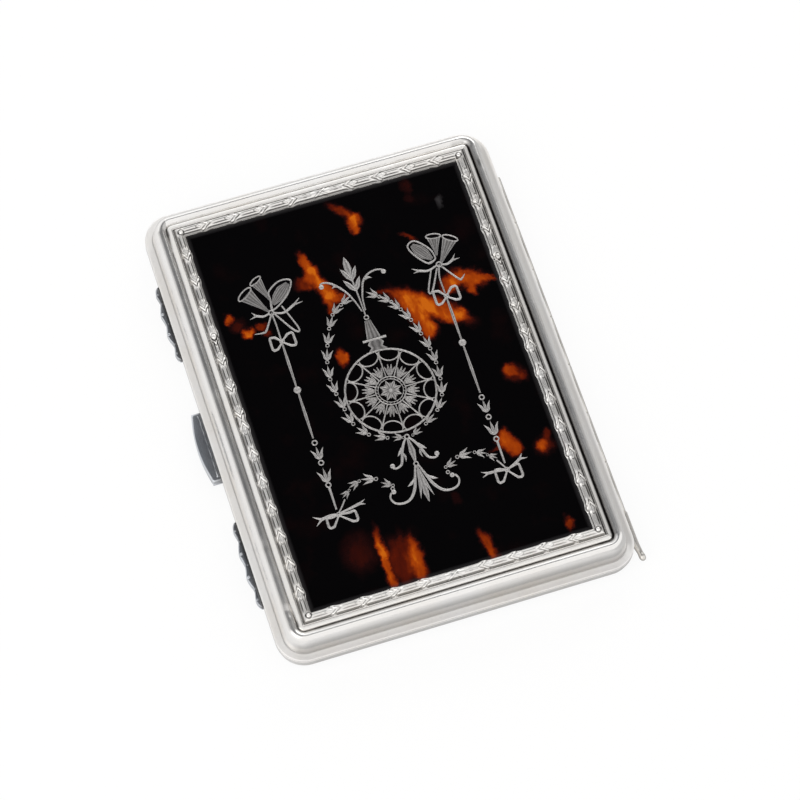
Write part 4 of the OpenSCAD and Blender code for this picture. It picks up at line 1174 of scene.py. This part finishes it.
for node_name, mat in (("tortoiseshell_panel", SHELL), ("panel_backing", INSIDE)):
    for held in frame["nodes"][node_name].material_slots:
        held.material = mat


# -------------------------------------------------------- floor, light, view
def floor():
    """White table whose reflection in the metal is painted darker, a painted shadow seen only in reflections: most
    close to the case and on the hinge side.
    """
    mat = bpy.data.materials.new("floor_white")
    mat.use_nodes = True
    mat.node_tree.nodes.clear()
    n = Nodes(mat.node_tree)
    x, y, _ = n.split(n.add("TexCoord").outputs["Object"])
    outside = [n.math("MAXIMUM", n.math("SUBTRACT", n.math("ABSOLUTE", c), half * MM), 0.0)
               for c, half in ((x, HALF_W), (y, HALF_L))]
    far = n.math("MAXIMUM", *outside)
    near = n.math("ADD", n.ranged(far, 0.002, 0.016, 0.24, 0.08), n.ranged(far, 0.014, 0.060, 0.15, 0.0))
    left = n.ranged(x, -0.045, -0.030, 0.12, 1.0)
    right = n.ranged(x, 0.036, 0.050, 0.0, 0.37)
    dusk = n.math("MAXIMUM", n.math("MULTIPLY", near, left), right)
    path = n.add("LightPath").outputs
    mirrored, seen = path["Is Glossy Ray"], path["Is Camera Ray"]
    glow = n.math("MULTIPLY_ADD", mirrored, 0.32, n.math("MULTIPLY", seen, 0.85))
    plain = n.add("BsdfDiffuse", {"Color": (0.86, 0.86, 0.86)}).outputs[0]
    white, black = (n.add("Emission", {"Strength": k}).outputs[0] for k in (1.03, 0.0))
    lit = n.add("MixShader", {0: glow, 1: plain, 2: white}).outputs[0]
    whole = n.add("MixShader", {0: n.math("MULTIPLY", mirrored, dusk), 1: lit, 2: black}).outputs[0]
    n.add("OutputMaterial", {"Surface": whole})
    corners = [(-3000, -3000, 0), (3000, -3000, 0), (3000, 3000, 0), (-3000, 3000, 0)]
    obj = show("floor", mesh_of("floor", corners, [(0, 1, 2, 3)]))
    obj.location.z = -0.02 * MM
    obj.data.materials.append(mat)


def world():
    """Pale studio room with one dark strip across it, which flat faces mirror to the camera."""
    w = bpy.data.worlds.new("studio")
    bpy.context.scene.world = w
    w.use_nodes = True
    w.node_tree.nodes.clear()
    n = Nodes(w.node_tree)
    x, y, _ = n.split(n.add("TexCoord").outputs["Generated"])
    off = n.math("ABSOLUTE", n.math("SUBTRACT", y, 0.376))
    room = n.mix(n.soft(y, -0.3, 0.9, 0.0, 1.0), (0.97, 0.96, 0.95), (1.08, 1.08, 1.08))
    dim = n.mix(n.soft(x, 0.2, 1.0, 0.0, 1.0), (0.070, 0.074, 0.082), (0.36, 0.355, 0.35))
    strip = n.math("MULTIPLY", n.soft(off, 0.21, 0.08, 0.0, 1.0), n.soft(x, -1.0, -0.5, 0.35, 1.0))
    seen = n.add("LightPath").outputs["Is Camera Ray"]
    colour = n.mix(seen, n.mix(strip, room, dim), (1.0, 1.0, 1.0))
    n.add("OutputWorld", {"Surface": n.add("Background", {"Color": colour}).outputs[0]})


def lamp(name, place, size, power, colour):
    """Square lamp aimed at the case."""
    data = bpy.data.lights.new(name, "AREA")
    data.size = size
    data.energy = power
    data.color = colour
    obj = show(name, data)
    obj.location = place
    obj.rotation_euler = (-Vector(place)).to_track_quat("-Z", "Y").to_euler()


def camera():
    """Camera placed and turned as the case's corners in the photograph say."""
    data = bpy.data.cameras.new("camera")
    data.sensor_width = 36.0
    data.lens = 153.0
    data.clip_start = 0.02
    obj = show("camera", data)
    right = Vector((0.9507, -0.30934, 0.02177)).normalized()
    down = Vector((-0.27507, -0.87363, -0.40138)).normalized()
    m = Matrix((right, -down, -right.cross(down))).transposed().to_4x4()
    m.translation = Vector((-98.43, -267.06, 648.86)) * MM
    obj.matrix_world = m
    bpy.context.scene.camera = obj


floor()
world()
lamp("key", (0.42, 0.62, 0.42), 0.45, 0.8, (1.0, 0.99, 0.97))
lamp("fill", (-0.55, -0.25, 0.60), 0.6, 1.0, (1.0, 0.99, 0.98))
camera()
bpy.context.scene.view_settings.view_transform = "Standard"
